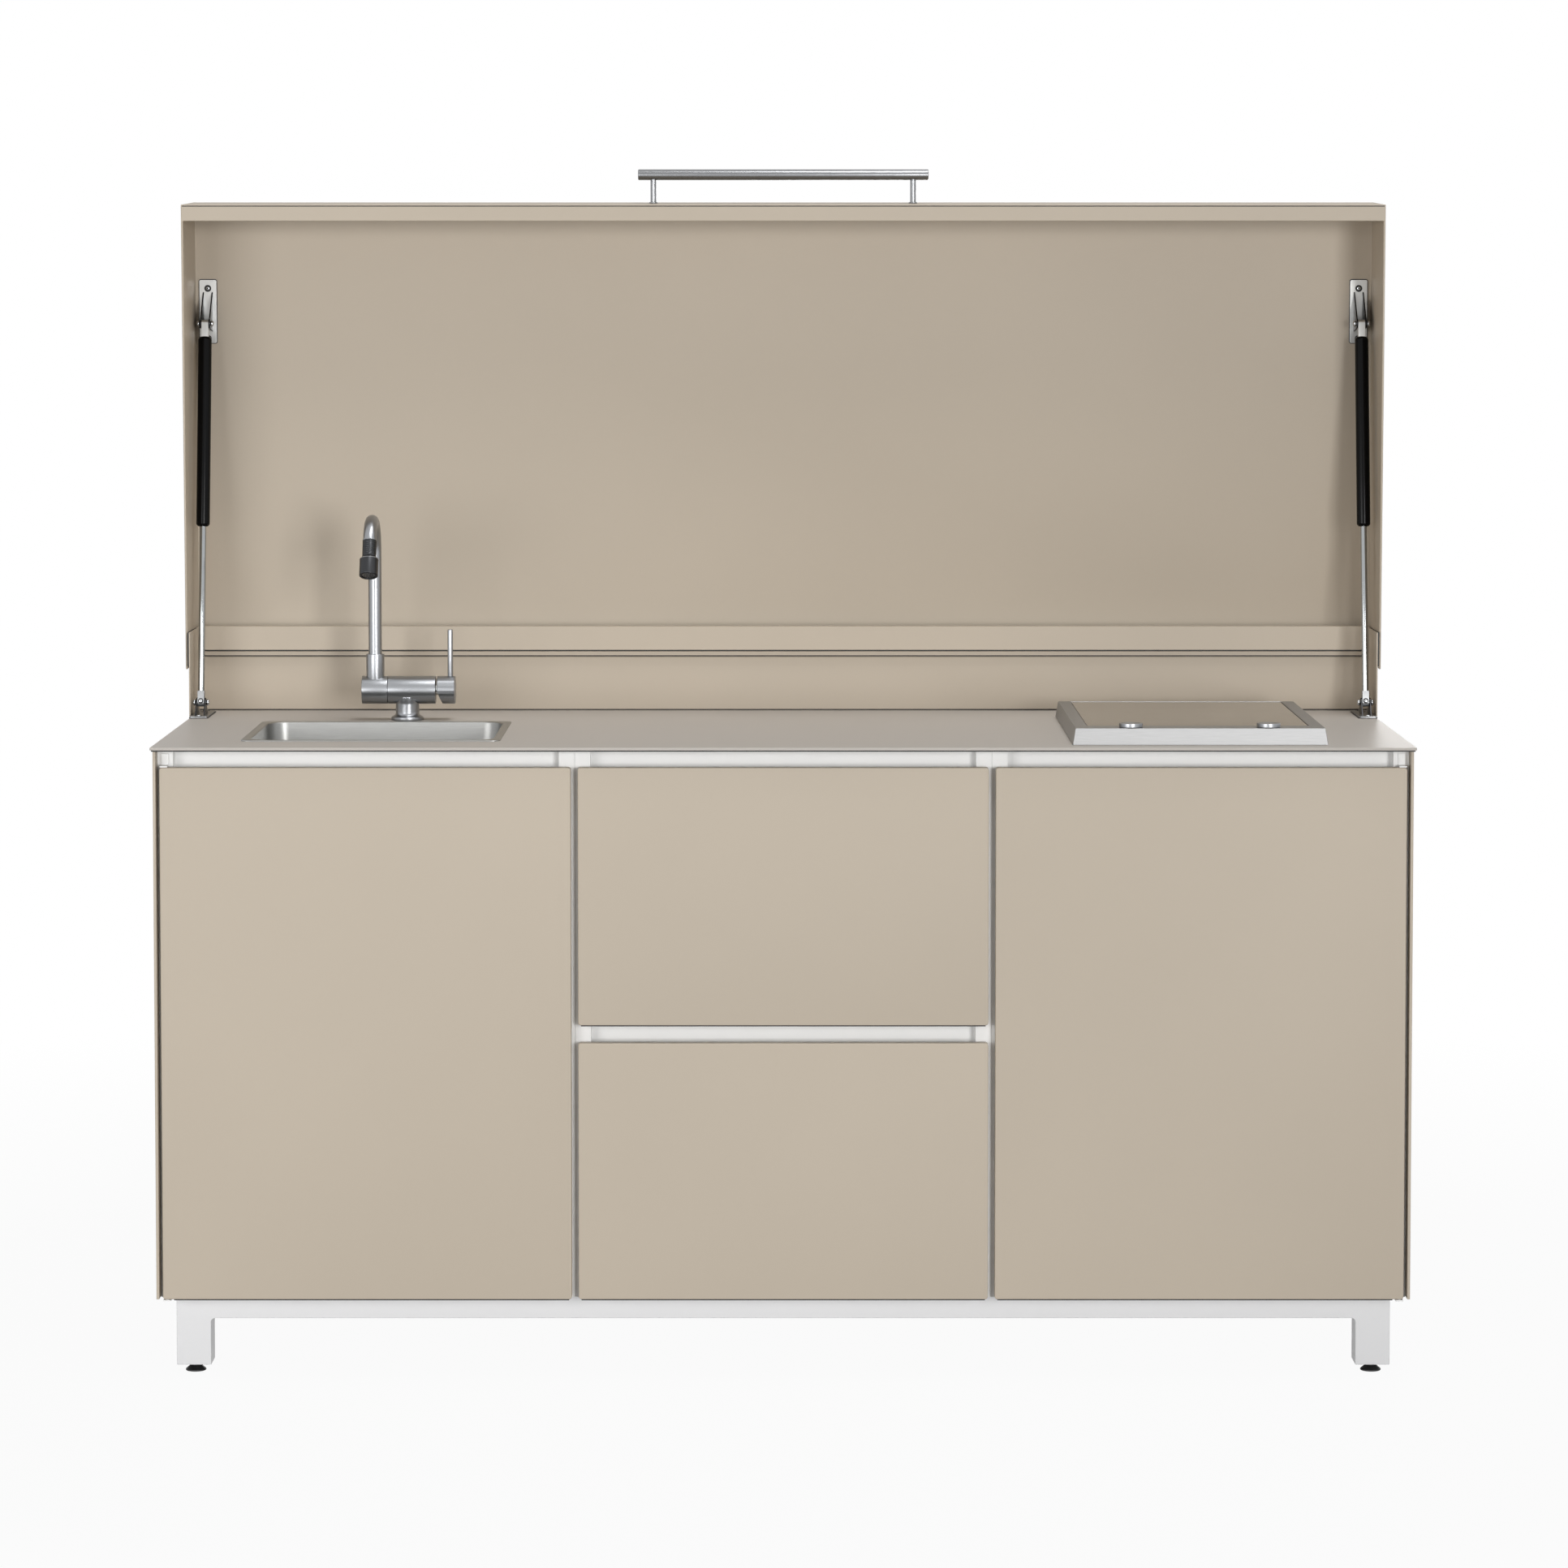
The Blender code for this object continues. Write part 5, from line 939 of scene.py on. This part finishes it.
# The base bracket's plate takes the darker copy of the zinc, which is painted shade.
BASE_BRACKET = Bracket(
    end="base", body="unit", finish="block", seat=BASE_FACE - 3.0 * MM, face=BASE_FACE,
    reach=(-0.039, 0.079), half_width=13.5 * MM, inner=BLOCK / 2 + SEAT_GAP,
    ears=[(-0.023, BASE_EAR), (0.023, BASE_EAR), *arc(EAR_NOSE, 20, 160, 12)],
    rows=(-0.032, 0.045, 0.068), pin_radius=3.0 * MM)
LID_SEAT = 43.9 * MM
LID_EAR = LID_SEAT - 1.5 * MM
LID_BRACKET = Bracket(
    end="lid", body="lid", finish="zinc", seat=LID_SEAT, face=LID_SEAT - 2.5 * MM,
    reach=(-0.066, 0.032), half_width=13.25 * MM, inner=EYE_HALF + SEAT_GAP,
    ears=[(-0.048, LID_EAR), *arc(EAR_NOSE, 210, 350, 12), (0.014, LID_EAR)],
    rows=(-0.0528, 0.025))


@dataclass
class Strut(Assembly):
    """Gas strut: chromed rod and its block below, enamelled tube and its eye above, two brackets."""

    side: int
    x: float = 0.893
    base_y: float = 0.530 - DEPTH_SHIFT
    base_z: float = 0.9417
    top_y: float = -0.4737
    top_z: float = -0.0112
    tube_length: float = 0.2945
    eye_drop: float = 20.5 * MM
    rod_radius: float = 5.0 * MM
    rod_in_tube: float = 29.0 * MM
    nose: float = 6.5 * MM
    block_top: float = 17.5 * MM
    eye_nose: float = 6.0 * MM
    lap: float = 1.0 * MM
    edge: float = 0.5 * MM
    rod_edge: float = 0.4 * MM
    tube_edge: float = 1.4 * MM
    clip_rise: float = 2.0 * MM
    ear_thick: float = 2.0 * MM
    pressed_edge: float = 0.3 * MM
    tube_foot_mm: ClassVar[Profile] = ((0, 2), (5.2, 2), (5.2, 0), (7.6, 0), (8.4, 1), (10.5, 3.2))
    tube_head_mm: ClassVar[Profile] = ((10.5, -4.0), (8.3, -0.6), (6.0, 0), (0, 0))
    clip: ClassVar[Turning] = Turning(plug(4.1, -0.6, 0.4), 0.5, 28)
    rivet: ClassVar[Turning] = Turning(plug(2.5, 0.0, 1.2), 0.5, 28)
    screw: ClassVar[Turning] = Turning(((0, -0.3), (3.3, -0.3), (3.1, 1.3), (1.9, 1.9), (0, 1.9)), 0.8, 24)
    dome: ClassVar[Turning] = Turning(
        ((0, -0.5), (3.4, -0.5), (3.4, 0.7), (4.8, 1.8), (4.6, 3.9), (2.6, 5.4), (0, 5.4)), 0.9, 28)

    @property
    def label(self) -> str:
        """Name of the side."""
        return "left" if self.side < 0 else "right"

    def build(self) -> None:
        """Build the strut's pieces from the rod's block to the lid's bracket."""
        base = Vector((self.side * self.x, self.base_y, self.base_z))
        hung = in_lid() @ Matrix.Translation((self.side * self.x, self.top_y, self.top_z))
        span = hung.translation - base
        lean = Matrix.Translation(base) @ Matrix.Rotation(-math.atan2(span.y, span.z), 4, "X")
        self.rod(lean, span.length)
        self.tube(lean, span.length)
        self.bracket(BASE_BRACKET, Matrix.Translation(base))
        self.bracket(LID_BRACKET, hung)

    def rod(self, lean: Matrix, length: float) -> None:
        """Make the rod and its end block, a round-nosed square bar with a clip round its cross rivet.

        Args:
            lean: Placement of the strut's axes.
            length: Distance between the strut's pivots.
        """
        label, nose, palette = self.label, self.nose, self.palette
        ride = (f"strut_lower_{label}", "brushed_stainless")
        facing = lean @ Matrix.Rotation(math.pi, 4, "Z") @ aimed(Axis.Y, (0.0, nose, self.clip_rise))
        self.add(f"strut_block_clip_{label}", *ride, palette.black, self.clip.shell(facing))
        self.add(f"strut_block_rivet_{label}", *ride, palette.head, self.rivet.shell(facing))
        outline = [(-nose, self.block_top), *arc(nose, 180, 360, 15), (nose, self.block_top)]
        block = prism(outline, -BLOCK / 2, BLOCK / 2)
        self.add(f"strut_block_{label}", *ride, palette.block, block.moved(lean), bevel=self.edge)
        end = length - self.eye_drop - self.tube_length + self.rod_in_tube
        bar = turned(plug(self.rod_radius, self.block_top - self.lap, end), self.rod_edge, 40)
        self.add(f"strut_rod_bar_{label}", *ride, palette.rod, bar.moved(lean), f"strut_rod_{label}")

    def tube(self, lean: Matrix, length: float) -> None:
        """Make the tube, rolled in at both ends, with its guide collar and its eye.

        Args:
            lean: Placement of the strut's axes.
            length: Distance between the strut's pivots.
        """
        label, top = self.label, length - self.eye_drop
        ride = (f"strut_upper_{label}", "black_cylinder")
        profile = [(r, top - self.tube_length + h) for r, h in mm(self.tube_foot_mm)]
        profile += [(r, top + h) for r, h in mm(self.tube_head_mm)]
        tube = turned(profile, self.tube_edge, 56).moved(lean)
        self.add(f"strut_tube_{label}", *ride, self.palette.tube, tube, f"strut_cylinder_{label}")
        neck = top - self.lap
        outline = [(-self.eye_nose, neck), (self.eye_nose, neck), *arc(self.eye_nose, 0, 180, 15, length)]
        eye = prism(outline, -EYE_HALF, EYE_HALF).moved(lean)
        self.add(f"strut_eye_{label}", *ride, self.palette.zinc, eye, bevel=self.edge)

    def bracket(self, spec: Bracket, place: Matrix) -> None:
        """Make a bracket's ears, pad, plate, rivet heads and screws.

        Args:
            spec: Its sizes.
            place: Placement of its pivot.
        """
        start, label, palette = f"strut_{spec.end}", self.label, self.palette
        ride, edge = (spec.body, "zinc_plated_steel"), self.pressed_edge
        outer = spec.inner + self.ear_thick
        ears = joined(prism(spec.ears, *sorted((side * spec.inner, side * outer))) for side in (-1, 1))
        # The ears' dark steel is painted shade, apart from their sheared edges.
        self.add(f"{start}_ears_{label}", *ride, palette.edge, ears.moved(place), bevel=edge)
        # The black pad is painted shade along the plate's edge, round the screws and in their sockets.
        self.add(f"{start}_pad_{label}", spec.body, "black_moulded", palette.black, spec.pad().moved(place))
        plate = spec.plate(0.0, spec.corner, spec.face).moved(place)
        self.add(f"{start}_bracket_{label}_pressed", *ride, getattr(palette, spec.finish), plate,
                 f"{start}_bracket_{label}", bevel=edge)
        shells = [self.dome.shell(Matrix.Translation((side * outer, 0.0, 0.0))
                                  @ Matrix.Rotation(side * math.pi / 2, 4, "Y")) for side in (-1, 1)]
        if spec.pin_radius:
            pin = turned(plug(spec.pin_radius, -spec.inner, spec.inner), segments=24)
            shells.append(pin.moved(aimed(Axis.X, (0.0, 0.0, 0.0))))
        over = Matrix.Rotation(0.0 if spec.face > spec.seat else math.pi, 4, "X")
        shells += [self.screw.shell(Matrix.Translation((0.0, y, spec.face)) @ over) for y in spec.rows]
        self.add(f"{start}_rivets_{label}", *ride, palette.head, joined(shells).moved(place))


@dataclass
class Tap(Assembly):
    """Fold-down mixer: turned body, folding joint, swivel spout, tilting nozzle and lever."""

    x: float = -0.5719
    y: float = 0.467 - DEPTH_SHIFT
    z: float = WORKTOP_TOP + 0.046
    spout_offset: float = 48.6 * MM
    lever_offset: float = 65.4 * MM
    bend: float = 50.0 * MM
    bend_z: float = 208.7 * MM
    pipe_start: float = 36.0 * MM
    pipe_radius: float = 10.0 * MM
    end_tilt: float = math.radians(27.0)
    nozzle_drop: float = 27.0 * MM
    grooves: int = 7
    groove_start_mm: float = 2.0
    groove_pitch_mm: float = 3.2
    groove_mm: ClassVar[Profile] = ((10.6, 0), (10.1, 0.5), (10.1, 1.1), (10.6, 1.6))
    sleeve_start_mm: ClassVar[Profile] = ((0, -1), (10.6, -1))
    sleeve_end_mm: ClassVar[Profile] = ((10.6, 27), (8.3, 27), (8.3, 19), (0, 19))
    foot: ClassVar[Turning] = Turning(
        ((0, -45.7), (24.5, -45.7), (24.5, -41), (19, -38), (17.8, -35), (17.8, -20), (19.5, -10), (0, 0)),
        1.2, 64)
    body: ClassVar[Turning] = Turning(plug(21.3, -29.1, 43.3), 1.0, 72)
    spigot: ClassVar[Turning] = Turning(plug(11.0, -55.0, -29.0), 0.0, 40)
    joint: ClassVar[Turning] = Turning(
        ((0, -68.6), (21.3, -68.6), (21.3, -29.4), (11.3, -29.4), (11.3, -55.9), (0, -55.9)), 1.0, 72)
    collar: ClassVar[Turning] = Turning(
        ((0, 13), (13.75, 13), (13.75, 55), (10.3, 55), (10.3, 35), (0, 35)), 0.7, 56)
    ring: ClassVar[Turning] = Turning(plug(10.9, -1.4, 0.6), 0.4, 56)
    barrel: ClassVar[Turning] = Turning((
        (0, -8), *arc(8.0, -90, -20, 8)[1:], (7.5, 2),
        *softened(((12.4, 2), (14.05, 3.6), (14.05, 29.8), (13.3, 30.5), (10.5, 30.5), (10.5, 26.5)), 0.8),
        (0, 26.5)), 0.0, 64)
    shoulder: ClassVar[Turning] = Turning(
        ((0, 1.8), (12.5, 1.8), (14.2, 3.5), (14.2, 4.5), (0, 4.5)), 0.0, 64)
    aerator: ClassVar[Turning] = Turning(
        ((0, 26.4), (10.3, 26.4), (10.3, 28.6), (9.6, 29.3), (0, 29.3)), 0.3, 56)
    jet: ClassVar[Turning] = Turning(((0, 28.8), (0.9, 28.8), (0.6, 29.9), (0, 29.9)), 0.0, 12)
    lever: ClassVar[Turning] = Turning(plug(4.1, 15.3, 92.0), 1.2, 40)
    jet_rings: ClassVar[Sequence[tuple[float, int]]] = ((3.0 * MM, 6), (6.5 * MM, 12))

    def steel(self, name: str, body: str, shell: Shell, node: str) -> None:
        """Place one piece in the tap's own steel."""
        self.add(name, body, "brushed_stainless", self.palette.tap, shell, node)

    def build(self) -> None:
        """Build the tap from its foot to its nozzle, and then its lever."""
        upright = aimed(Axis.Z, (self.x, self.y, self.z))
        across = aimed(Axis.X, (self.x, self.y, self.z))
        body = joined([self.foot.shell(upright), self.body.shell(across), self.spigot.shell(across)])
        self.steel("tap_body_turned", "unit", body, "tap_body")
        place = aimed(Axis.Z, (self.x - self.spout_offset, self.y, self.z))
        joint = self.joint.shell(across).plus(self.collar.shell(place))
        self.steel("tap_fold_joint_turned", "tap_fold", joint, "tap_fold_joint")
        slant = self.spout(place)
        self.nozzle(place @ slant @ Matrix.Translation((0.0, 0.0, self.nozzle_drop)))
        lever = self.lever.shell(aimed(Axis.Z, (self.x + self.lever_offset, self.y, self.z)))
        self.steel("tap_lever_pin", "tap_lever", lever, "tap_lever")

    def spout(self, place: Matrix) -> Matrix:
        """Sweep the spout's pipe with a ring at its end, and turn its ribbed sleeve.

        Args:
            place: Placement of the spout's axes.

        Returns:
            Placement of the pipe's end in those axes.
        """
        rise = np.linspace(self.pipe_start, self.bend_z, 12, endpoint=False)
        t = np.linspace(0.0, math.pi - self.end_tilt, 40)
        over = np.column_stack([0 * t, self.bend * (np.cos(t) - 1), self.bend_z + self.bend * np.sin(t)])
        path = np.vstack([np.column_stack([0 * rise, 0 * rise, rise]), over])
        slant = Matrix.Translation(path[-1]) @ Matrix.Rotation(math.pi - self.end_tilt, 4, "X")
        pipe = swept(path, self.pipe_radius, 48).plus(self.ring.shell(slant))
        self.steel("tap_spout_pipe", "tap_spout", pipe.moved(place), "tap_spout")
        ribs = [(r, self.groove_start_mm + self.groove_pitch_mm * i + h)
                for i in range(self.grooves) for r, h in self.groove_mm]
        sleeve = Turning([*self.sleeve_start_mm, *ribs, *self.sleeve_end_mm], 0.25, 56, 2).shell(slant)
        self.add("tap_spout_sleeve", "tap_spout", "brushed_stainless", self.palette.nozzle,
                 sleeve.moved(place))
        return slant

    def nozzle(self, place: Matrix) -> None:
        """Turn the nozzle on its ball, its bright shoulder and aerator plate, and the jets.

        Args:
            place: Placement of the ball.
        """
        ride = ("tap_nozzle", "brushed_stainless")
        self.add("tap_nozzle_turned", *ride, self.palette.nozzle, self.barrel.shell(place), "tap_nozzle")
        trim = self.aerator.shell(place).plus(self.shoulder.shell(place))
        self.add("tap_nozzle_trim", *ride, self.palette.bar, trim)
        jets = []
        for radius, count in self.jet_rings:
            for angle in np.arange(count) * 2 * math.pi / count:
                spot = (radius * math.cos(angle), radius * math.sin(angle), 0.0)
                jets.append(self.jet.shell(place @ Matrix.Translation(spot)))
        self.add("tap_nozzle_jets", *ride, self.palette.black, joined(jets))


@dataclass
class Sink(Assembly):
    """Pressed bowl with a thin flat rim."""

    x: float = -0.6000
    y: float = 0.2637 - DEPTH_SHIFT
    width: float = 0.3774
    length: float = 0.3270
    rim: float = 12.0 * MM
    rim_corner: float = 12.0 * MM
    rim_edge: float = 0.4 * MM
    seat: float = WORKTOP_TOP + SEAT_GAP
    rim_sheet: float = 1.2 * MM
    roll: float = 2.0 * MM
    sheet: float = 1.5 * MM
    depth: float = 0.180
    taper: float = 6.0 * MM
    corner: float = 30.0 * MM
    bend: float = 20.0 * MM
    drain: float = 35.0 * MM

    def ring(self, inset: float, height: float, radius: float | None = None) -> np.ndarray:
        """Outline of the bowl at one height.

        Args:
            inset: Distance in from the rim's outer edge.
            height: Height of the ring.
            radius: Corner radius, or nothing for the bowl's own.

        Returns:
            Array of points.
        """
        flat = rounded_outline(self.width / 2 - inset, self.length / 2 - inset, radius or self.corner, 12)
        return level(flat, self.x, self.y, height)

    def wall(self, angle: float, offset: float) -> np.ndarray:
        """Ring of the bend from wall to floor, at an angle and a distance outside the inner face."""
        out = self.bend + offset
        return self.ring(self.rim + self.taper + self.bend - out * math.cos(angle),
                         WORKTOP_TOP - self.depth + self.bend - out * math.sin(angle))

    def build(self) -> None:
        """Loft the bowl down its inside, through the drain and up its outside."""
        top, lip, floor = self.seat + self.rim_sheet, self.rim - self.roll, WORKTOP_TOP - self.depth
        rings = [self.ring(0.0, self.seat, self.rim_corner),
                 self.ring(0.0, top - self.rim_edge, self.rim_corner),
                 self.ring(self.rim_edge, top, self.rim_corner - self.rim_edge), self.ring(lip, top)]
        rings += [self.ring(lip + self.roll * math.sin(a), top - self.roll * (1 - math.cos(a)))
                  for a in np.linspace(0.0, math.pi / 2, 6)[1:]]
        t = np.linspace(0.0, math.pi / 2, 9)
        rings += [self.wall(a, 0.0) for a in t]
        outline = rounded_outline(1.0, 1.0, 0.5, 12)
        around = np.arctan2(outline[:, 1], outline[:, 0])
        circle = self.drain * np.column_stack([np.cos(around), np.sin(around)])
        rings += [level(circle, self.x, self.y, height) for height in (floor, floor - self.sheet)]
        rings += [self.wall(a, self.sheet) for a in t[::-1]]
        rings += [self.ring(self.rim - self.sheet, self.seat)]
        self.add("sink_bowl_pressed", "unit", "brushed_stainless", self.palette.sink,
                 ring_loft(rings, closed=True), "sink_bowl", smooth_deg=50)


@dataclass
class Hob(Assembly):
    """Raised fry-top: sloped frame with a mitred lip, polished plate and two low knobs."""

    x: float = 0.601
    knob_y: float = 60.0 * MM - DEPTH_SHIFT
    knob_spacing: float = 0.1987
    top: float = WORKTOP_TOP + 24.1 * MM
    lip_edge: float = 0.8 * MM
    plate_edge: float = 0.6 * MM
    knob: ClassVar[Turning] = Turning(
        ((0, -18), (3, -18), (3, 0.3), (16.6, 0.3), (17.1, 1.0), (17.1, 6.5), (14.1, 6.5), (13.5, 6.0),
         (0, 6.0)), 0.6, 64)

    def build(self, nodes: dict[str, bpy.types.Object]) -> None:
        """Dress the frame and the plate, and turn the knobs.

        Args:
            nodes: The frame's objects.
        """
        Piece("hob_frame_lip", "unit", "brushed_stainless", self.palette.hob, ("hob_frame",),
              bevel=self.lip_edge, bevel_steps=3).copy_of(nodes["hob_frame"])
        Piece("hob_plate_ground", "unit", "polished_fry_plate", self.palette.plate, ("hob_plate",),
              bevel=self.plate_edge).copy_of(nodes["hob_plate"])
        for label, side in (("left", -1), ("right", 1)):
            node, spot = f"hob_knob_{label}", (self.x + side * self.knob_spacing / 2, self.knob_y, self.top)
            self.add(f"{node}_turned", node, "brushed_stainless", self.palette.tap,
                     self.knob.shell(aimed(Axis.Z, spot)), node)


@dataclass
class Foot(Assembly):
    """Levelling foot: moulded pad whose cone rises to a collar under the stem."""

    node: str
    pad_mm: ClassVar[Profile] = ((0, 0), (14.4, 0), (15, 0.8), (15, 2.2), (8.2, 8), (8.2, 12.2), (5, 12.2))
    stem: float = 5.0 * MM
    corner: float = 0.6 * MM

    def build(self) -> None:
        """Turn the pad and its stem."""
        low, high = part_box(self.node)
        x, y = (low[0] + high[0]) / 2, (low[1] + high[1]) / 2
        pad = turned([*mm(self.pad_mm), (self.stem, high[2]), (0, high[2])], self.corner)
        self.add(f"{self.node}_moulded", self.node, "black_moulded", self.palette.black,
                 pad.moved(aimed(Axis.Z, (x, y, 0.0))), self.node)


def keep_nodes(palette: Palette, nodes: dict[str, bpy.types.Object]) -> None:
    """Put a finish in the slots of each frame node whose own shape is shown.

    Args:
        palette: The finishes.
        nodes: The frame's objects.
    """
    kept = {"tap_cap": palette.tap, "tap_cartridge": palette.cartridge, "sink_strainer": palette.sink,
            "sink_waste": palette.black, "hob_housing": palette.galvanised,
            "lid_hinge_fixed_leaf": palette.zinc, "lid_hinge_moving_leaf": palette.zinc,
            "lid_hinge_pin": palette.rod}
    for name, material in kept.items():
        for slot in nodes[name].material_slots:
            slot.material = material
        LOG.info("%s keeps its shape as %s", name, material.name)


@dataclass
class Studio:
    """Plain white studio: floor, world, soft lamps and the camera."""

    camera_place: tuple[float, float, float] = (0.00109, -7.7126, 1.5932)
    pitch_deg: float = 3.534
    lens: float = 118.601
    shift: float = -0.12
    fill: float = 0.135
    floor_reach: float = 30.0
    floor_fade: tuple[float, float] = (1.5, 3.4)
    lamps: ClassVar[Sequence[tuple]] = (
        ("key", (4.2, -14.0, 1.6), (-62.0, -6.0, -1.9), (7.9, 3.8), 1980.0),
        ("left", (-4.05, -6.9, 1.3), (0.0, 0.0, 0.8), (4.0, 3.0), 195.0),
        ("overhead", (1.67, -2.14, 9.0), (-1.6, 0.1, 0.9), (5.5, 2.75), 365.0),
        ("behind", (1.5, 6.5, 1.0), (0.0, 0.0, 0.8), (3.0, 2.0), 180.0),
    )

    @staticmethod
    def put(name: str, data: bpy.types.ID, place: Sequence[float] = (0.0, 0.0, 0.0),
            turn: Sequence[float] = (0.0, 0.0, 0.0)) -> bpy.types.Object:
        """Put a new object in the scene, at a place and with a turn in radians."""
        item = bpy.data.objects.new(name, data)
        item.location = place
        item.rotation_euler = turn
        bpy.context.collection.objects.link(item)
        return item

    @staticmethod
    def seen(tree: bpy.types.NodeTree) -> bpy.types.NodeSocket:
        """Output that is 1 for rays from the camera, a gloss or a clear piece, and 0 for light."""
        rays = add_node(tree, "LightPath").outputs
        mask = rays["Is Camera Ray"]
        for name in ("Is Glossy Ray", "Is Transmission Ray"):
            mask = add_node(tree, "Math", {0: mask, 1: rays[name]}, operation="MAXIMUM").outputs[0]
        return mask

    def floor(self) -> None:
        """Lay a floor that shows white with a faint shadow, and gives back less light than it shows."""
        mesh = bpy.data.meshes.new("studio_floor")
        far = self.floor_reach
        corners = [(-far, -far, 0), (far, -far, 0), (far, far, 0), (-far, far, 0)]
        mesh.from_pydata(corners, [], [(0, 1, 2, 3)])
        coat = Coat("white_studio_floor")
        coat.shader.inputs["Base Color"].default_value = shade("909090")
        coat.shader.inputs["Roughness"].default_value = 0.9
        away = add_node(coat.tree, "VectorMath", {0: coat.place}, operation="LENGTH")
        near, beyond = self.floor_fade
        white = add_node(coat.tree, "MapRange", {"Value": away.outputs["Value"]}, in1=near, in2=beyond,
                         in3=0.95, in4=1.0)
        share = add_node(coat.tree, "Math", {0: self.seen(coat.tree), 1: white.outputs["Result"]},
                         operation="MULTIPLY")
        glow = add_node(coat.tree, "Emission", Color=(1, 1, 1, 1), Strength=1.0)
        mix = add_node(coat.tree, "MixShader", {0: share.outputs[0], 1: coat.shader.outputs["BSDF"],
                                                2: glow.outputs[0]})
        coat.tree.links.new(mix.outputs[0], coat.tree.nodes["Material Output"].inputs["Surface"])
        mesh.materials.append(coat.material)
        self.put("studio_floor", mesh)

    def world(self) -> None:
        """Light the scene from all round, and show white behind the object."""
        world = bpy.data.worlds.new("white_studio")
        bpy.context.scene.world = world
        world.use_nodes = True
        tree = world.node_tree
        fill = tree.nodes["Background"]
        fill.inputs["Color"].default_value = (1.0, 1.0, 1.0, 1.0)
        fill.inputs["Strength"].default_value = self.fill
        white = add_node(tree, "Background", Color=(1, 1, 1, 1), Strength=1.0)
        mix = add_node(tree, "MixShader", {0: self.seen(tree), 1: fill.outputs[0], 2: white.outputs[0]})
        tree.links.new(mix.outputs[0], tree.nodes["World Output"].inputs["Surface"])

    def lamp(self, name: str, place: Sequence[float], aim: Sequence[float], size: tuple[float, float],
             power: float) -> None:
        """Hang one soft lamp.

        Args:
            name: Lamp name.
            place: Where it hangs.
            aim: What it faces.
            size: Width and height of its face.
            power: Power in watts.
        """
        data = bpy.data.lights.new(name, "AREA")
        data.shape = "RECTANGLE"
        data.size, data.size_y = size
        data.energy = power
        way = Vector(aim) - Vector(place)
        self.put(name, data, place, way.to_track_quat("-Z", "Y").to_euler())

    def camera(self) -> None:
        """Set the camera at the photograph's view."""
        data = bpy.data.cameras.new("camera")
        data.sensor_width = 36.0
        data.lens = self.lens
        data.shift_y = self.shift
        data.clip_end = 100.0
        turn = (math.radians(90.0 - self.pitch_deg), 0.0, 0.0)
        bpy.context.scene.camera = self.put("camera", data, self.camera_place, turn)

    def build(self) -> None:
        """Set up the view transform, floor, world, lamps and camera."""
        bpy.context.scene.view_settings.view_transform = "Standard"
        self.floor()
        self.world()
        for row in self.lamps:
            self.lamp(*row)
        self.camera()


def main() -> None:
    """Load the frame, dress it piece by piece, and set up the studio."""
    logging.basicConfig(level=logging.INFO, format="%(name)s: %(message)s")
    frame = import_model()
    nodes = frame["nodes"]
    palette = Palette()
    Studio().build()
    SheetWork(palette, nodes).build()
    EdgeShadeStrip(palette).build()
    UpstandShadeStrips(palette).build()
    for node, body, pivot_side in (("door_left", "door_left", -1), ("door_right", "door_right", 1),
                                   ("drawer_front_upper", "drawer_upper", 0),
                                   ("drawer_front_lower", "drawer_lower", 0)):
        Front(palette, node, body, pivot_side).build()
    Lid(palette).build()
    for side in (-1, 1):
        Strut(palette, side).build()
    Tap(palette).build()
    Sink(palette).build()
    Hob(palette).build(nodes)
    for name in ("foot_front_left", "foot_front_right", "foot_back_left", "foot_back_right"):
        Foot(palette, name).build()
    keep_nodes(palette, nodes)


if __name__ == "__main__":
    main()
